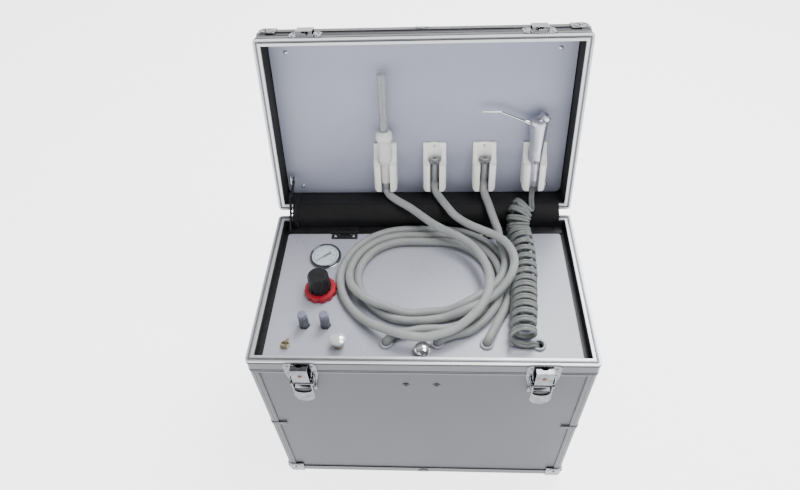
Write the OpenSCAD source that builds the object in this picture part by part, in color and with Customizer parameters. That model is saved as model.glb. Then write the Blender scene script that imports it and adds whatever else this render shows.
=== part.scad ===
// Portable dental unit: an aluminium case with a hinged lid and a hinged control deck.
// Frame: +Z up, front of the case towards -Y, origin on the floor under the middle of the base.
// Everything on the lid is drawn with the lid closed and turned open by on_lid().

/* [Case] */
// Width of the case over its aluminium edges
case_w = 420; // [410:1:450]
// Depth of the case, front to back
case_d = 245; // [243:1:270]
// Height of the base, from its underside to the top of its rim
base_h = 321; // [300:1:360]
// Height of the closed lid
lid_h = 46; // [44:1:60]
// How far the lid stands open, from closed
lid_open = 104; // [95:1:105]
// Thickness of the laminated boards
board_t = 4; // [3:0.5:5]
// Thickness of the aluminium edge sections
skin_t = 1.5; // [1:0.1:2]
// Width of an edge section's leg
leg_w = 12; // [9:0.5:16]
// Outer radius of the case's upright edges
edge_r = 5; // [4:0.5:8]
// Thickness of the black foam lining
lining_t = 3; // [2:0.5:3.5]
// Height of the rubber feet below the case
foot_h = 4; // [2:0.5:10]

/* [Rims] */
// Width of the rim's top face
rim_w = 9; // [9:0.5:12]
// Height of the base rim's outer leg
rim_drop = 25; // [18:1:30]
// Height of the lid rim's outer leg
lid_rim_drop = 18; // [14:1:19]
// Gap between the two rims when the lid is shut
rim_gap = 0.6; // [0.4:0.1:1]

/* [Hinges and stay] */
// Length of the rear hinge
hinge_len = 380; // [300:10:400]
// Number of knuckles along the rear hinge
hinge_knuckles = 13; // [7:2:17]
// How far the hinge pin lies behind the case
hinge_out = 5; // [4.6:0.1:6]
// Radius of the hinge pin
pin_r = 1.5; // [1:0.1:2]
// Depth of the hinge leaves
leaf_h = 21; // [14:1:24]
// Width of the lid stay's links
stay_w = 8; // [7:0.5:9]

/* [Deck] */
// Depth of the deck's face below the base rim
deck_drop = 13; // [12:0.5:15]
// Sheet thickness of the deck
deck_t = 2; // [1.5:0.1:3]
// Gap from the deck's sides to the case's lining
deck_gap = 7.5; // [6.5:0.5:8]
// Free strip between the deck's rear edge and the rear lining
deck_rear_gap = 16; // [15:0.5:20]
// How far the deck lifts
deck_open = 75; // [45:5:75]
// Radius of the hoses
hose_r = 5.5; // [4:0.1:5.8]
// Outer radius of the curly air and water tube
curly_r = 17; // [14:0.5:17]
// Bezel radius of the pressure gauge
gauge_r = 21.5; // [18:0.5:23]
// Radius of the regulator's ring nut
nut_r = 21.3; // [18:0.1:23]
// Height of the regulator's knob
reg_knob_h = 26; // [20:1:27]
// Radius of a water or air flow knob
flow_knob_r = 6.1; // [5:0.1:8]
// Height of a flow knob
flow_knob_h = 22; // [14:1:26]
// Outer height of the hose coil on the deck
coil_h = 21.5; // [16:0.5:21.5]
// Width of the ring that the coiled hoses take up
coil_w = 44; // [33:1:46]

/* [Lid fittings] */
// Depth of the inner panel's face inside the lid rim
lid_panel_drop = 34.4; // [34:0.1:36]
// Distance between two instrument holders
holder_pitch = 70; // [60:1:72]
// Width of a holder
holder_w = 32; // [30:1:36]
// Height of a holder
holder_h = 66; // [60:1:70]
// How far a holder stands out of the panel
holder_d = 25; // [23:0.5:25]
// Radius of a holder's socket
socket_r = 7.6; // [7:0.1:9]
// Radius of the suction tip
tip_r = 6; // [4:0.5:7]
// Length of the suction tip that shows
tip_len = 80; // [60:1:90]

/* [Latches] */
// Distance of each latch from the middle of the front
latch_x = 145; // [100:1:165]
// Width of a latch's base plate
latch_w = 40; // [36:1:44]
// Travel of a latch lever
lever_open = 100; // [60:5:100]

/* [Hidden] */

$fn = 48;
clear = 0.3;                        // rest gap between parts that only touch in use
fit = 0.05;                         // radial clearance of a pin in its bore
eps = 0.01;

// case levels
rim_z = foot_h + base_h;
lid_z0 = rim_z + rim_gap;
lid_z1 = lid_z0 + lid_h;
web_t = 2;                          // rim's top face
lid_web_t = 2.5;
lip_h = 2;                          // small inner lip of each rim
bead_in = 3;                        // sealing bead on the base rim and its groove in the lid rim
bead_w = 2;
bead_h = 1.4;
wall_in = skin_t + board_t;         // inset of the boards' inner faces
lining_in = wall_in + lining_t;     // inset of the lining's inner face
floor_z = foot_h + skin_t + board_t;

// hinge
hinge_y = case_d/2 + hinge_out;
hinge_z = rim_z + rim_gap/2;
leaf_t = 1.2;
knuckle_r = hinge_out - leaf_t + 0.2;
knuckle_gap = 0.4;

// deck
deck_z = rim_z - deck_drop;
deck_x = case_w/2 - lining_in - deck_gap;
deck_y0 = -(case_d/2 - lining_in - 2);
deck_y1 = case_d/2 - lining_in - deck_rear_gap;
rail_w = 14;
rail_t = 1.5;
rail_z = deck_z - deck_t - clear;
deck_pin_r = 0.9;
deck_knuckle_r = 2.2;
deck_hinge_w = 37;
deck_hinge_y = deck_y1 + 0.6;
deck_hinge_z = deck_z + deck_knuckle_r + clear;
deck_hinge_x = [-112, 104];

// places of the controls on the deck
gauge_at = [59 - deck_x, deck_y1 - 44];
reg_at = [60 - deck_x, deck_y0 + 106];
flow_at = [[46 - deck_x, deck_y0 + 51], [73 - deck_x, deck_y0 + 51]];
toggle_at = [26 - deck_x, deck_y0 + 21];
purge_at = [93 - deck_x, deck_y0 + 22];
knob_at = [2, deck_y0 + 12];
hose_at = [for (x = [-43, 20, 80]) [x, deck_y0 + 25]];
curly_at = [deck_x - 51, deck_y0 + 24];
grommet_r = 8.5;
grommet_h = 3;

// hose coil: a ring with straight sides, seen from above
coil_at = [3, (deck_y0 + deck_y1)/2 + 14];
coil_long = deck_x - 82.5;           // half of its width
coil_deep = (deck_y1 - deck_y0)/2 - 12;     // half of its depth
curly_front = [deck_x - 66, deck_y0 + 40];  // ends of the curly tube's middle line
curly_rear = [deck_x - 55, deck_y1 - 6];

// lid panel frame
panel_z = lid_z0 + lid_panel_drop;
panel_t = 1.5;
holder_y = case_d/2 - 24.5;         // foot of the holders, from the middle of the lid
holder_x0 = 157 - 3*holder_pitch;
axis_d = 14;                        // distance of the instruments' axes from the panel
batten_h = lid_z1 - wall_in - panel_z - panel_t;

// latches, in distances out of the case's front face and below the rim
latch_pivot = [6.5, rim_z - 36];
claw_pivot = [latch_pivot[0] - 2.6, latch_pivot[1] - 6];
plate_t = 1.2;
claw_w = 20.8;
flange_x = claw_w/2 + 0.6;
flange_t = 1.4;
ear_x = flange_x + flange_t + 0.4;
claw_top = rim_z - 5;
claw_out = 9.5;

// stay: a parallel linkage of hinge pin, base pivot, elbow and lid pivot
stay_base = [case_d/2 - 21.5, rim_z - 6];
stay_lid = [case_d/2 - 37.5, rim_z + 25];
stay_lower_v = turned([stay_lid[0] - hinge_y, stay_lid[1] - hinge_z], -lid_open);
stay_elbow = stay_base + stay_lower_v;
stay_lid_open = turned([stay_lid[0] - hinge_y, stay_lid[1] - hinge_z], -lid_open)
    + [hinge_y, hinge_z];
stay_t = 1.6;
stay_pin_r = 2;
stay_x = -(deck_x - 1.5);            // outer side of the stay's brackets
stay_gap = 0.4;

// free hose runs from the lid to the coil, as points on the hose's middle line
hose_path_1 = [[-53, 155, 350.2], [-53, 154.5, 348.2], [-51.8, 151.4, 345.3], [-48.8, 146.8, 344],
    [-44.5, 141, 344.6], [-41, 136, 345.8], [-36.5, 131, 346.9], [-18.5, 117.2, 346.4],
    [-1.5, 103, 343.9], [15, 89.5, 341.4], [31.5, 78.2, 340.4]];
hose_path_2 = [[17, 156.9, 358], [17, 155.8, 353.6], [17.4, 152.8, 350.2], [18.6, 148.8, 347.8],
    [20.8, 143.5, 346.8], [24.5, 137, 346.8], [27, 131, 347.4], [34.5, 118.5, 346.5],
    [44, 103.8, 344.8], [61, 88.8, 343.2], [78, 78, 343.4]];
hose_path_3 = [[87, 156.9, 358], [87, 155.8, 353.6], [87.2, 152.8, 350.2], [87.7, 148.8, 347.8],
    [88.6, 143.5, 346.8], [89.7, 137, 346.8], [91, 131, 347.4], [93.8, 118, 346.5],
    [97, 104, 344.2], [100.5, 90, 341.5], [104, 78, 338.6]];
lead_path = [[157, 155.6, 352.4], [157, 154.2, 348.6], [156.6, 151, 345.8], [155.8, 146, 344.4],
    [154.5, 140, 344.2], [152, 131, 344.8], [147.5, 120.5, 342], [143.2, 110, 336.5],
    [140.6, 102, 331.7], [139.3, 94, 329.6]];

// ---------- shared shapes ----------

function turned(v, a) = [v[0]*cos(a) - v[1]*sin(a), v[0]*sin(a) + v[1]*cos(a)];

// flat rounded rectangle, centred
module rrect(w, d, r) {
    square([w - 2*r, d], center = true);
    square([w, d - 2*r], center = true);
    for (sx = [-1, 1], sy = [-1, 1])
        translate([sx*(w/2 - r), sy*(d/2 - r)]) circle(r = r);
}

// outline of the case, inset by a distance
module inset(o) {
    rrect(case_w - 2*o, case_d - 2*o, max(edge_r - o, 0.5));
}

// flat ring between two insets
module ring(o1, o2) {
    difference() {
        inset(o1);
        inset(o2);
    }
}

// ring standing from one level to another
module ring_wall(o1, o2, z0, z1) {
    translate([0, 0, z0]) linear_extrude(z1 - z0) ring(o1, o2);
}

// the four corner pieces of a ring
module ring_corners(o1, o2, z0, z1, leg) {
    translate([0, 0, z0]) linear_extrude(z1 - z0) intersection() {
        ring(o1, o2);
        for (sx = [-1, 1], sy = [-1, 1])
            translate([sx*(case_w/2 - leg/2 + 5), sy*(case_d/2 - leg/2 + 5)])
                square([leg + 10, leg + 10], center = true);
    }
}

// the four boards of a box, each butted against the next
module boards(z0, z1) {
    for (s = [-1, 1]) {
        translate([0, 0, z0]) linear_extrude(z1 - z0) intersection() {
            ring(skin_t, wall_in);
            translate([0, s*(case_d/2 - wall_in/2)])
                square([case_w, wall_in], center = true);
        }
        translate([s*(case_w/2 - skin_t - board_t/2), 0, (z0 + z1)/2])
            cube([board_t, case_d - 2*wall_in, z1 - z0], center = true);
    }
}

// turns what is drawn on the closed lid to where it stands open
module on_lid() {
    translate([0, hinge_y, hinge_z]) rotate([-lid_open, 0, 0])
        translate([0, -hinge_y, -hinge_z]) children();
}

// local frame on the lid's panel: +Y up the open lid, +Z out of the panel
module on_panel(x, y = holder_y) {
    on_lid() translate([x, y, panel_z]) rotate([180, 0, 0]) children();
}

module on_deck(p) {
    translate([p[0], p[1], deck_z]) children();
}

// round-headed rivet or screw standing on z = 0
module dome(r, h) {
    ball = (r*r + h*h)/(2*h);
    intersection() {
        translate([0, 0, h - ball]) sphere(r = ball);
        cylinder(r = r + 1, h = h + 1);
    }
}

// places children on the front face of the case, +Z out of it, +Y up
module on_front(x, z) {
    translate([x, -case_d/2, z]) rotate([90, 0, 0]) children();
}

// tube swept along points, n sides
function unit(v) = v/norm(v);
function tangent(p, i) = unit(i == 0 ? p[1] - p[0]
    : i == len(p) - 1 ? p[i] - p[i - 1] : p[i + 1] - p[i - 1]);
function ring_points(p, i, r, n) = let (t = tangent(p, i), u = unit(cross(t, [1, 0.2, 0.1])),
    v = cross(t, u)) [for (k = [0:n - 1]) p[i] + r*(cos(360*k/n)*u + sin(360*k/n)*v)];
module tube(p, r, n = 10) {
    m = len(p);
    points = [for (i = [0:m - 1], q = ring_points(p, i, r, n)) q];
    sides = [for (i = [0:m - 2], k = [0:n - 1], h = [0, 1]) let (a = i*n + k, b = i*n + (k + 1)%n)
        h == 0 ? [a, b, b + n] : [a, b + n, a + n]];
    polyhedron(points, concat([[for (k = [n - 1:-1:0]) k]], sides,
        [[for (k = [0:n - 1]) (m - 1)*n + k]]));
}

// ---------- base of the case ----------

module base_panels() color("#8f9194") {
    difference() {
        boards(foot_h + skin_t, rim_z - web_t);
        // opening for the mains inlet and cooling slots in the rear board
        translate([inlet_x, case_d/2, inlet_z]) cube([inlet_w - 4, 30, inlet_h - 4], center = true);
        for (i = [-3:3])
            translate([vent_x + i*9, case_d/2, vent_z]) cube([4, 30, 50], center = true);
    }
    translate([0, 0, foot_h + skin_t]) linear_extrude(board_t) inset(wall_in);
}

module base_frame() color("#c3c5c8") {
    ring_corners(0, skin_t, foot_h + leg_w, rim_z - rim_drop, leg_w);
    ring_wall(0, skin_t, foot_h, foot_h + leg_w);
    ring_wall(0, leg_w, foot_h, foot_h + skin_t);
}

module base_rim() color("#cfd1d3") {
    ring_wall(0, skin_t, rim_z - rim_drop, rim_z);
    ring_wall(0, rim_w, rim_z - web_t, rim_z);
    ring_wall(rim_w - skin_t, rim_w, rim_z - web_t - lip_h, rim_z);
    ring_wall(bead_in, bead_in + bead_w, rim_z - eps, rim_z + bead_h);
}

cap_l = 22;
cap_t = 1.2;

// round-ended lobe from a case corner, along +X and +Y from [-2, -2]
module lobe() {
    translate([-2, -2]) square([cap_l/2 + 2, cap_l + 2]);
    translate([-2, -2]) square([cap_l + 2, cap_l/2 + 2]);
    translate([cap_l/2, cap_l/2]) circle(r = cap_l/2);
}

// three-lobed cap at each corner of a face, z0 is the face, up is the side of the lobes
module corner_caps(z0, up) {
    for (sx = [-1, 1], sy = [-1, 1]) {
        intersection() {
            ring_wall(-cap_t, 0, min(z0, z0 + up*cap_l) - 2, max(z0, z0 + up*cap_l) + 2);
            union() {
                translate([sx*case_w/2, sy*(case_d/2 - 8), z0]) rotate([90, 0, 0])
                    linear_extrude(30, center = true) scale([-sx, up]) lobe();
                translate([sx*(case_w/2 - 8), sy*case_d/2, z0]) rotate([90, 0, 90])
                    linear_extrude(30, center = true) scale([-sy, up]) lobe();
            }
        }
        translate([0, 0, up > 0 ? z0 - cap_t : z0]) linear_extrude(cap_t) intersection() {
            inset(-cap_t);
            translate([sx*case_w/2, sy*case_d/2]) scale([-sx, -sy]) lobe();
        }
        for (k = [[sx*(case_w/2 - cap_l/2), sy*(case_d/2 + cap_t), sy > 0 ? -90 : 90, 0],
                [sx*(case_w/2 + cap_t), sy*(case_d/2 - cap_l/2), 0, sx*90]])
            translate([k[0], k[1], z0 + up*cap_l/2]) rotate([k[2], k[3], 0]) dome(2.4, 0.9);
    }
}

module base_corner_caps() color("#b9bbbe") corner_caps(foot_h, 1);

clip_w = 23;
clip_h = 7;
clip_t = 0.8;
front_screw_x = 19;
front_screw_z = rim_z - 54;

module base_trim() color("#a9abae") {
    ring_corners(-clip_t, 0, foot_h + base_h/2 - clip_h/2, foot_h + base_h/2 + clip_h/2, clip_w);
    // half-round clips in the middle of the bottom edges, front and rear
    for (s = [-1, 1])
        translate([0, s*(case_d/2 + clip_t/2), foot_h + 1]) rotate([90, 0, 0])
            linear_extrude(clip_t, center = true) intersection() {
                circle(r = 8);
                translate([-10, 0]) square([20, 10]);
            }
    // two screws in the middle of the front board
    for (s = [-1, 1]) translate([s*front_screw_x, -case_d/2 + skin_t, front_screw_z])
        rotate([90, 0, 0]) {
            cylinder(r = 4.6, h = 0.8);
            translate([0, 0, 0.8]) dome(3.4, 1.8);
        }
}

module base_lining() color("#1b1b1d") difference() {
    ring_wall(wall_in, lining_in, floor_z, rim_z - web_t - lip_h);
    // openings behind the mains inlet and the cooling slots
    translate([inlet_x, case_d/2, inlet_z]) cube([inlet_w - 4, 30, inlet_h - 4], center = true);
    translate([vent_x, case_d/2, vent_z]) cube([62, 30, 54], center = true);
}

module rubber_feet() color("#222224")
    for (sx = [-1, 1], sy = [-1, 1])
        translate([sx*(case_w/2 - 42), sy*(case_d/2 - 42), 0]) {
            cylinder(r1 = 10, r2 = 12, h = foot_h);
            cylinder(r = 8, h = foot_h + skin_t);
        }

// ---------- rails and hinges that carry the deck ----------

module deck_rails() color("#202124") {
    in_x = case_w/2 - lining_in;
    in_y = case_d/2 - lining_in;
    cross_y = deck_y1 + 1.2;
    for (s = [-1, 1])
        translate([s*(in_x - rail_w/2), 0, rail_z - rail_t/2])
            cube([rail_w, 2*in_y, rail_t], center = true);
    translate([-in_x, -in_y, rail_z - rail_t]) cube([2*in_x, 10, rail_t]);
    // rear cross rail, raised level with the deck
    translate([-in_x, cross_y, rail_z - rail_t]) cube([2*in_x, in_y - cross_y, rail_t]);
    translate([-in_x + 4, cross_y, rail_z - eps])
        cube([2*in_x - 8, 1.5, deck_z - rail_z - leaf_t + 2*eps]);
    translate([-in_x + 4, cross_y, deck_z - leaf_t]) cube([2*in_x - 8, in_y - cross_y, leaf_t]);
    // fixed halves of the deck hinges, with their pins
    for (x = deck_hinge_x) difference() {
        translate([x, 0, 0]) {
            translate([-deck_hinge_w/2, deck_hinge_y, deck_z - eps])
                cube([deck_hinge_w, in_y - deck_hinge_y - 2.5, leaf_t + eps]);
            for (s = [-1, 1]) translate([s*deck_hinge_w/3, deck_hinge_y, deck_hinge_z])
                rotate([0, 90, 0]) cylinder(r = deck_knuckle_r, h = deck_hinge_w/3 - 0.4, center = true);
            translate([0, deck_hinge_y, deck_hinge_z]) rotate([0, 90, 0])
                cylinder(r = deck_pin_r, h = deck_hinge_w - 2, center = true);
        }
        translate([x, deck_hinge_y, deck_hinge_z]) rotate([0, 90, 0]) difference() {
            cylinder(r = deck_knuckle_r + 0.4, h = deck_hinge_w/3, center = true);
            cylinder(r = deck_pin_r, h = deck_hinge_w, center = true);
        }
    }
    // bracket of the lid stay, with its pivot pin
    translate([stay_x + 0.1, cross_y, deck_z - eps])
        cube([1.2, 2*(stay_base[0] - cross_y) + 3, stay_base[1] + 3 - deck_z]);
    translate([stay_x + 0.2, stay_base[0], stay_base[1]]) rotate([0, 90, 0])
        cylinder(r = stay_pin_r, h = stay_lower_x - stay_x - 0.2 + stay_t + 0.2);
}

stay_lower_x = stay_x + 1.5;
stay_upper_x = stay_lower_x + stay_t + stay_gap;

// ---------- rear hinge ----------

// knuckles of one leaf: first is 0 for the base and 1 for the lid
module knuckles(first, r, extra) {
    seg = hinge_len/hinge_knuckles;
    for (i = [first:2:hinge_knuckles - 1])
        translate([-hinge_len/2 + (i + 0.5)*seg, hinge_y, hinge_z]) rotate([0, 90, 0])
            cylinder(r = r, h = seg - knuckle_gap + extra, center = true);
}

module hinge_leaf(first, z0) {
    difference() {
        union() {
            difference() {
                translate([-hinge_len/2, case_d/2, z0]) cube([hinge_len, leaf_t, leaf_h]);
                knuckles(1 - first, knuckle_r + 0.4, 2*knuckle_gap);
            }
            knuckles(first, knuckle_r, 0);
        }
        translate([0, hinge_y, hinge_z]) rotate([0, 90, 0])
            cylinder(r = pin_r + fit, h = hinge_len + 10, center = true);
    }
}

module base_hinge_leaf() color("#b4b6b9") {
    hinge_leaf(0, hinge_z - leaf_h);
    translate([0, hinge_y, hinge_z]) rotate([0, 90, 0])
        cylinder(r = pin_r, h = hinge_len + 3, center = true);
}

module lid_hinge_leaf() color("#b4b6b9") on_lid() hinge_leaf(1, hinge_z + 0.15);

// soft flap that covers the hinge inside the case, from the base's lining to the lid's
flap_t = 1.6;
flap_line = [[-10.2, -12.6], [-10.2, -1], [-9.4, 3], [-6.5, 7.6], [-0.5, 11.6], [5, 14],
    [9.5, 15.2], [14, 13.6], [20, 11.9], [38, 7.4]];
module hinge_flap() color("#232326") {
    n = len(flap_line);
    normals = [for (i = [0:n - 1]) let (d = unit(flap_line[min(i + 1, n - 1)]
        - flap_line[max(i - 1, 0)])) [-d[1], d[0]]];
    outline = concat([for (i = [0:n - 1]) flap_line[i] + normals[i]*flap_t/2],
        [for (i = [n - 1:-1:0]) flap_line[i] - normals[i]*flap_t/2]);
    translate([deck_x - 1, case_d/2, rim_z]) rotate([90, 0, -90])
        mirror([1, 0, 0]) linear_extrude(deck_x - 1 - stay_x - 9) polygon(outline);
}

// ---------- what the base holds ----------

inlet_x = case_w/2 - 55;
inlet_z = foot_h + 52;
inlet_w = 30;
inlet_h = 50;
vent_x = 110 - case_w/2;
vent_z = foot_h + 70;
inlet_y = case_d/2 - skin_t;

module power_inlet() color("#1c1c1e") {
    difference() {
        union() {
            translate([inlet_x, inlet_y + 1.2, inlet_z]) cube([inlet_w + 16, 2.4, inlet_h + 4], center = true);
            translate([inlet_x, inlet_y - 12, inlet_z])
                cube([inlet_w - 4.4, 24 + 2*eps, inlet_h - 4.4], center = true);
        }
        // shrouded socket with a block in its middle, and the pocket of the switch
        difference() {
            translate([inlet_x, inlet_y - 6, inlet_z - 10]) cube([22.5, 20, 16.5], center = true);
            translate([inlet_x, inlet_y - 9, inlet_z - 10]) cube([15, 16, 9], center = true);
        }
        translate([inlet_x, inlet_y - 4, inlet_z + 12]) cube([19, 17, 13], center = true);
    }
    for (s = [-1, 1]) translate([inlet_x + s*(inlet_w/2 + 4), inlet_y + 2.4 - eps, inlet_z])
        rotate([-90, 0, 0]) dome(2.8, 1.4);
}

switch_at = [inlet_x, inlet_y + 0.4, inlet_z + 12];

// rocker lying tilted in its pocket, on a cross pin
module rocker_switch() color("#2a2a2c")
    translate(switch_at) rotate([8, 0, 0]) {
        translate([0, 0.6, 0]) cube([17.6, 3.6, 10.6], center = true);
        translate([0, -2, 0]) rotate([0, 90, 0]) cylinder(r = 1.8, h = 18.8, center = true);
    }

comp_z = floor_z + 10;
comp_y = 104.5 - case_d/2;
comp_r = 42;

module compressor() color("#8b8f94") {
    // oil-free motor lying along X, a pump head on each end, on four rubber mounts
    translate([0, comp_y, comp_z + comp_r]) rotate([0, 90, 0]) {
        cylinder(r = comp_r, h = 96, center = true);
        for (s = [-1, 1]) translate([0, 0, s*62]) cylinder(r = comp_r - 6, h = 28.1, center = true);
        for (i = [-4:4]) translate([0, 0, i*10]) cylinder(r = comp_r + 2, h = 3, center = true);
    }
    for (s = [-1, 1]) translate([s*62, comp_y, comp_z + comp_r]) {
        cylinder(r = 24, h = 62);
        for (i = [0:3]) translate([0, 0, 38 + i*6]) cylinder(r = 29, h = 2.5);
        translate([-26, -26, 62]) cube([52, 52, 9]);
        translate([0, 0, 71]) cylinder(r = 6, h = 14);
    }
    translate([-80, comp_y - 36, comp_z]) cube([160, 72, 5]);
    for (sx = [-1, 1], sy = [-1, 1])
        translate([sx*66, comp_y + sy*26, floor_z]) cylinder(r = 8, h = comp_z - floor_z);
}

module air_tank() color("#5b6066")
    // tank with round ends behind the compressor, in two cradles
    translate([0, case_d/2 - 48.5, floor_z + 36]) {
        rotate([0, 90, 0]) cylinder(r = 30, h = 190, center = true);
        for (s = [-1, 1]) translate([s*95, 0, 0]) sphere(r = 30);
        for (s = [-1, 1]) translate([s*60, 0, -36]) difference() {
            translate([-6, -26, 0]) cube([12, 52, 22]);
            translate([0, 0, 36]) rotate([0, 90, 0]) cylinder(r = 29.9, h = 20, center = true);
        }
        translate([40, 0, 28]) cylinder(r = 6, h = 14);
    }

// clean-water and waste bottles at the right side, with screw caps
bottle_r = 32;
module bottles() color("#dfe6ea")
    for (y = [50.5, 124.5]) translate([case_w/2 - lining_in - bottle_r - 4, y - case_d/2, floor_z]) {
        cylinder(r = bottle_r, h = 140);
        translate([0, 0, 140]) cylinder(r1 = bottle_r, r2 = 16, h = 20);
        translate([0, 0, 160]) cylinder(r = 16, h = 12);
        translate([0, 0, 172]) cylinder(r = 19, h = 16);
    }

// ---------- hoses ----------

module hose_spans() color("#b9bcbe")
    from_rim() for (p = [hose_path_1, hose_path_2, hose_path_3]) tube(p, hose_r);

module curly_lead() color("#b9bcbe") from_rim() tube(lead_path, 3.5, 8);

// keeps the hose paths at the rear edge of the rim, whatever the case's size
module from_rim() {
    translate([0, case_d/2 - 122.5, rim_z - 325]) children();
}

module hose_coil() color("#b4b7b9") {
    flat = coil_long - coil_deep;
    on_deck([coil_at[0], coil_at[1]]) translate([0, 0, clear]) difference() {
        linear_extrude(coil_h) difference() {
            long_round(flat, coil_deep);
            long_round(flat, coil_deep - coil_w);
        }
        // hollows over the grommets, where the hoses come up
        for (p = hose_at) translate([p[0] - coil_at[0], p[1] - coil_at[1], -1])
            cylinder(r = grommet_r + 1.5, h = 10 + 1);
    }
    for (p = hose_at) on_deck(p) hose_tail(11, 16);
}

// end of a hose: up through its grommet, then bent over towards the rear
module hose_tail(up, back) {
    translate([0, 0, -20]) cylinder(r = hose_r, h = 20 + up);
    translate([0, 0, up]) sphere(r = hose_r);
    translate([0, 0, up]) rotate([-90, 0, 0]) cylinder(r = hose_r, h = back);
}

module long_round(flat, r) {
    for (s = [-1, 1]) translate([s*flat, 0]) circle(r = r, $fn = 96);
    square([2*flat, 2*r], center = true);
}

module curly_hose() color("#b4b7b9") {
    run = curly_rear - curly_front;
    translate([curly_front[0], curly_front[1], deck_z + clear + curly_r])
        rotate([-90, 0, -atan2(run[0], run[1])]) cylinder(r = curly_r, h = norm(run));
    on_deck(curly_at) hose_tail(15, 18);
}

// ---------- lid ----------

module lid_panels() color("#8f9194") on_lid() {
    boards(lid_z0 + lid_web_t, lid_z1 - wall_in);
    translate([0, 0, lid_z1 - wall_in]) linear_extrude(board_t) inset(skin_t);
    // battens between the board and the inner panel
    for (s = [-1, 1]) translate([s*(case_w/2 - lining_in - 14), 0, lid_z1 - wall_in - batten_h/2])
        cube([16, case_d - 2*lining_in - 8, batten_h], center = true);
    translate([0, holder_y - holder_h/2, lid_z1 - wall_in - batten_h/2])
        cube([case_w - 120, holder_h - 6, batten_h], center = true);
}

module lid_frame() color("#c3c5c8") on_lid() {
    ring_corners(0, skin_t, lid_z0 + lid_rim_drop, lid_z1 - leg_w, leg_w);
    ring_wall(0, skin_t, lid_z1 - leg_w, lid_z1);
    ring_wall(0, leg_w, lid_z1 - skin_t, lid_z1);
}

module lid_rim() color("#cfd1d3") on_lid() difference() {
    union() {
        ring_wall(0, skin_t, lid_z0, lid_z0 + lid_rim_drop);
        ring_wall(0, rim_w, lid_z0, lid_z0 + lid_web_t);
        ring_wall(rim_w - skin_t, rim_w, lid_z0, lid_z0 + lid_web_t + lip_h);
    }
    ring_wall(bead_in - 0.4, bead_in + bead_w + 0.4, lid_z0 - 1, lid_z0 + bead_h + 0.4);
}

module lid_corner_caps() color("#b9bbbe") on_lid() {
    corner_caps(lid_z1, -1);
    for (s = [-1, 1])
        translate([0, s*(case_d/2 + clip_t/2), lid_z1 - 1]) rotate([90, 0, 0])
            linear_extrude(clip_t, center = true) intersection() {
                circle(r = 8);
                translate([-10, -10]) square([20, 10]);
            }
}

module lid_lining() color("#1b1b1d") on_lid()
    ring_wall(wall_in, lining_in, lid_z0 + lid_web_t + lip_h, lid_z1 - wall_in);

module lid_inner_panel() color("#b9bac6") on_lid()
    translate([0, 0, panel_z]) linear_extrude(panel_t)
        rrect(case_w - 2*lining_in - 3, case_d - 2*lining_in - 3, 8);

// screws of the panel and holders, and the lid's stay bracket
module lid_panel_fixings() color("#3a3b3e") {
    for (s = [-1, 1], y = [case_d/2 - 21.5, 26.5 - case_d/2]) on_panel(s*(case_w/2 - 32), y) dome(3, 1.4);
    for (i = [0:3]) on_panel(holder_x0 + i*holder_pitch)
        translate([0, holder_h - 5.5, axis_d - funnel_r + 0.2]) dome(2.2, 1.1);
    on_lid() {
        translate([stay_x + 0.1, stay_lid[0] - 6, stay_lid[1] - 4])
            cube([1.2, 12, panel_z - stay_lid[1] + 4]);
        translate([stay_x + 0.2, stay_lid[0], stay_lid[1]]) rotate([0, 90, 0])
            cylinder(r = stay_pin_r, h = stay_upper_x - stay_x - 0.2 + stay_t + 0.2);
    }
}

// ---------- lid stay ----------

// flat link between two pivots in the Y-Z plane, from x0
module link(x0, a, b, bore_a, bore_b) {
    d = b - a;
    translate([x0, a[0], a[1]]) rotate([atan2(d[1], d[0]), 0, 0]) rotate([90, 0, 90])
        linear_extrude(stay_t) difference() {
            union() {
                translate([0, -stay_w/2]) square([norm(d), stay_w]);
                circle(r = stay_w/2);
                translate([norm(d), 0]) circle(r = stay_w/2);
            }
            if (bore_a) circle(r = stay_pin_r + fit);
            if (bore_b) translate([norm(d), 0]) circle(r = stay_pin_r + fit);
        }
}

module stay_lower() color("#2b2c2f") {
    link(stay_lower_x, stay_base, stay_elbow, true, false);
    translate([stay_lower_x, stay_elbow[0], stay_elbow[1]]) rotate([0, 90, 0])
        cylinder(r = stay_pin_r, h = 2*stay_t + stay_gap + 0.3);
}

module stay_upper() color("#2b2c2f")
    link(stay_upper_x, stay_lid_open, stay_elbow, true, true);

// ---------- instrument holders and instruments ----------

plate_back = 4;                     // back of a holder's scooped mouth, from the panel
funnel_y = [holder_h - 26, holder_h - 10];
funnel_r = socket_r + 4.9;

// one holder: rounded block, socket with a funnel mouth, open slot to the front
module holder() {
    r = 6;
    difference() {
        translate([0, holder_h, 0]) rotate([90, 0, 0]) linear_extrude(holder_h) {
            translate([-holder_w/2, 0]) square([holder_w, holder_d - r]);
            translate([-holder_w/2 + r, 0]) square([holder_w - 2*r, holder_d]);
            for (s = [-1, 1]) translate([s*(holder_w/2 - r), holder_d - r]) circle(r = r);
        }
        translate([0, -1, axis_d]) rotate([-90, 0, 0]) {
            cylinder(r = socket_r, h = holder_h + 2);
            translate([0, 0, funnel_y[0] + 1])
                cylinder(r1 = socket_r, r2 = funnel_r, h = funnel_y[1] - funnel_y[0]);
            translate([0, 0, funnel_y[1] + 1]) cylinder(r = funnel_r, h = 20);
        }
        translate([-6.6, -1, axis_d]) cube([13.2, holder_h + 2, holder_d]);
        // concave scoop of the two arms at the top
        translate([0, holder_h, holder_d + 5]) rotate([0, 90, 0])
            cylinder(r = holder_d + 5 - plate_back, h = holder_w + 2, center = true, $fn = 96);
        // rounded feet of the arms
        for (s = [-1, 1]) translate([s*(holder_w/2 - 5), 5, -1]) difference() {
            translate([s > 0 ? 0 : -6, -6, 0]) cube([6, 6, holder_d + 2]);
            cylinder(r = 5, h = holder_d + 2);
        }
    }
}

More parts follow.
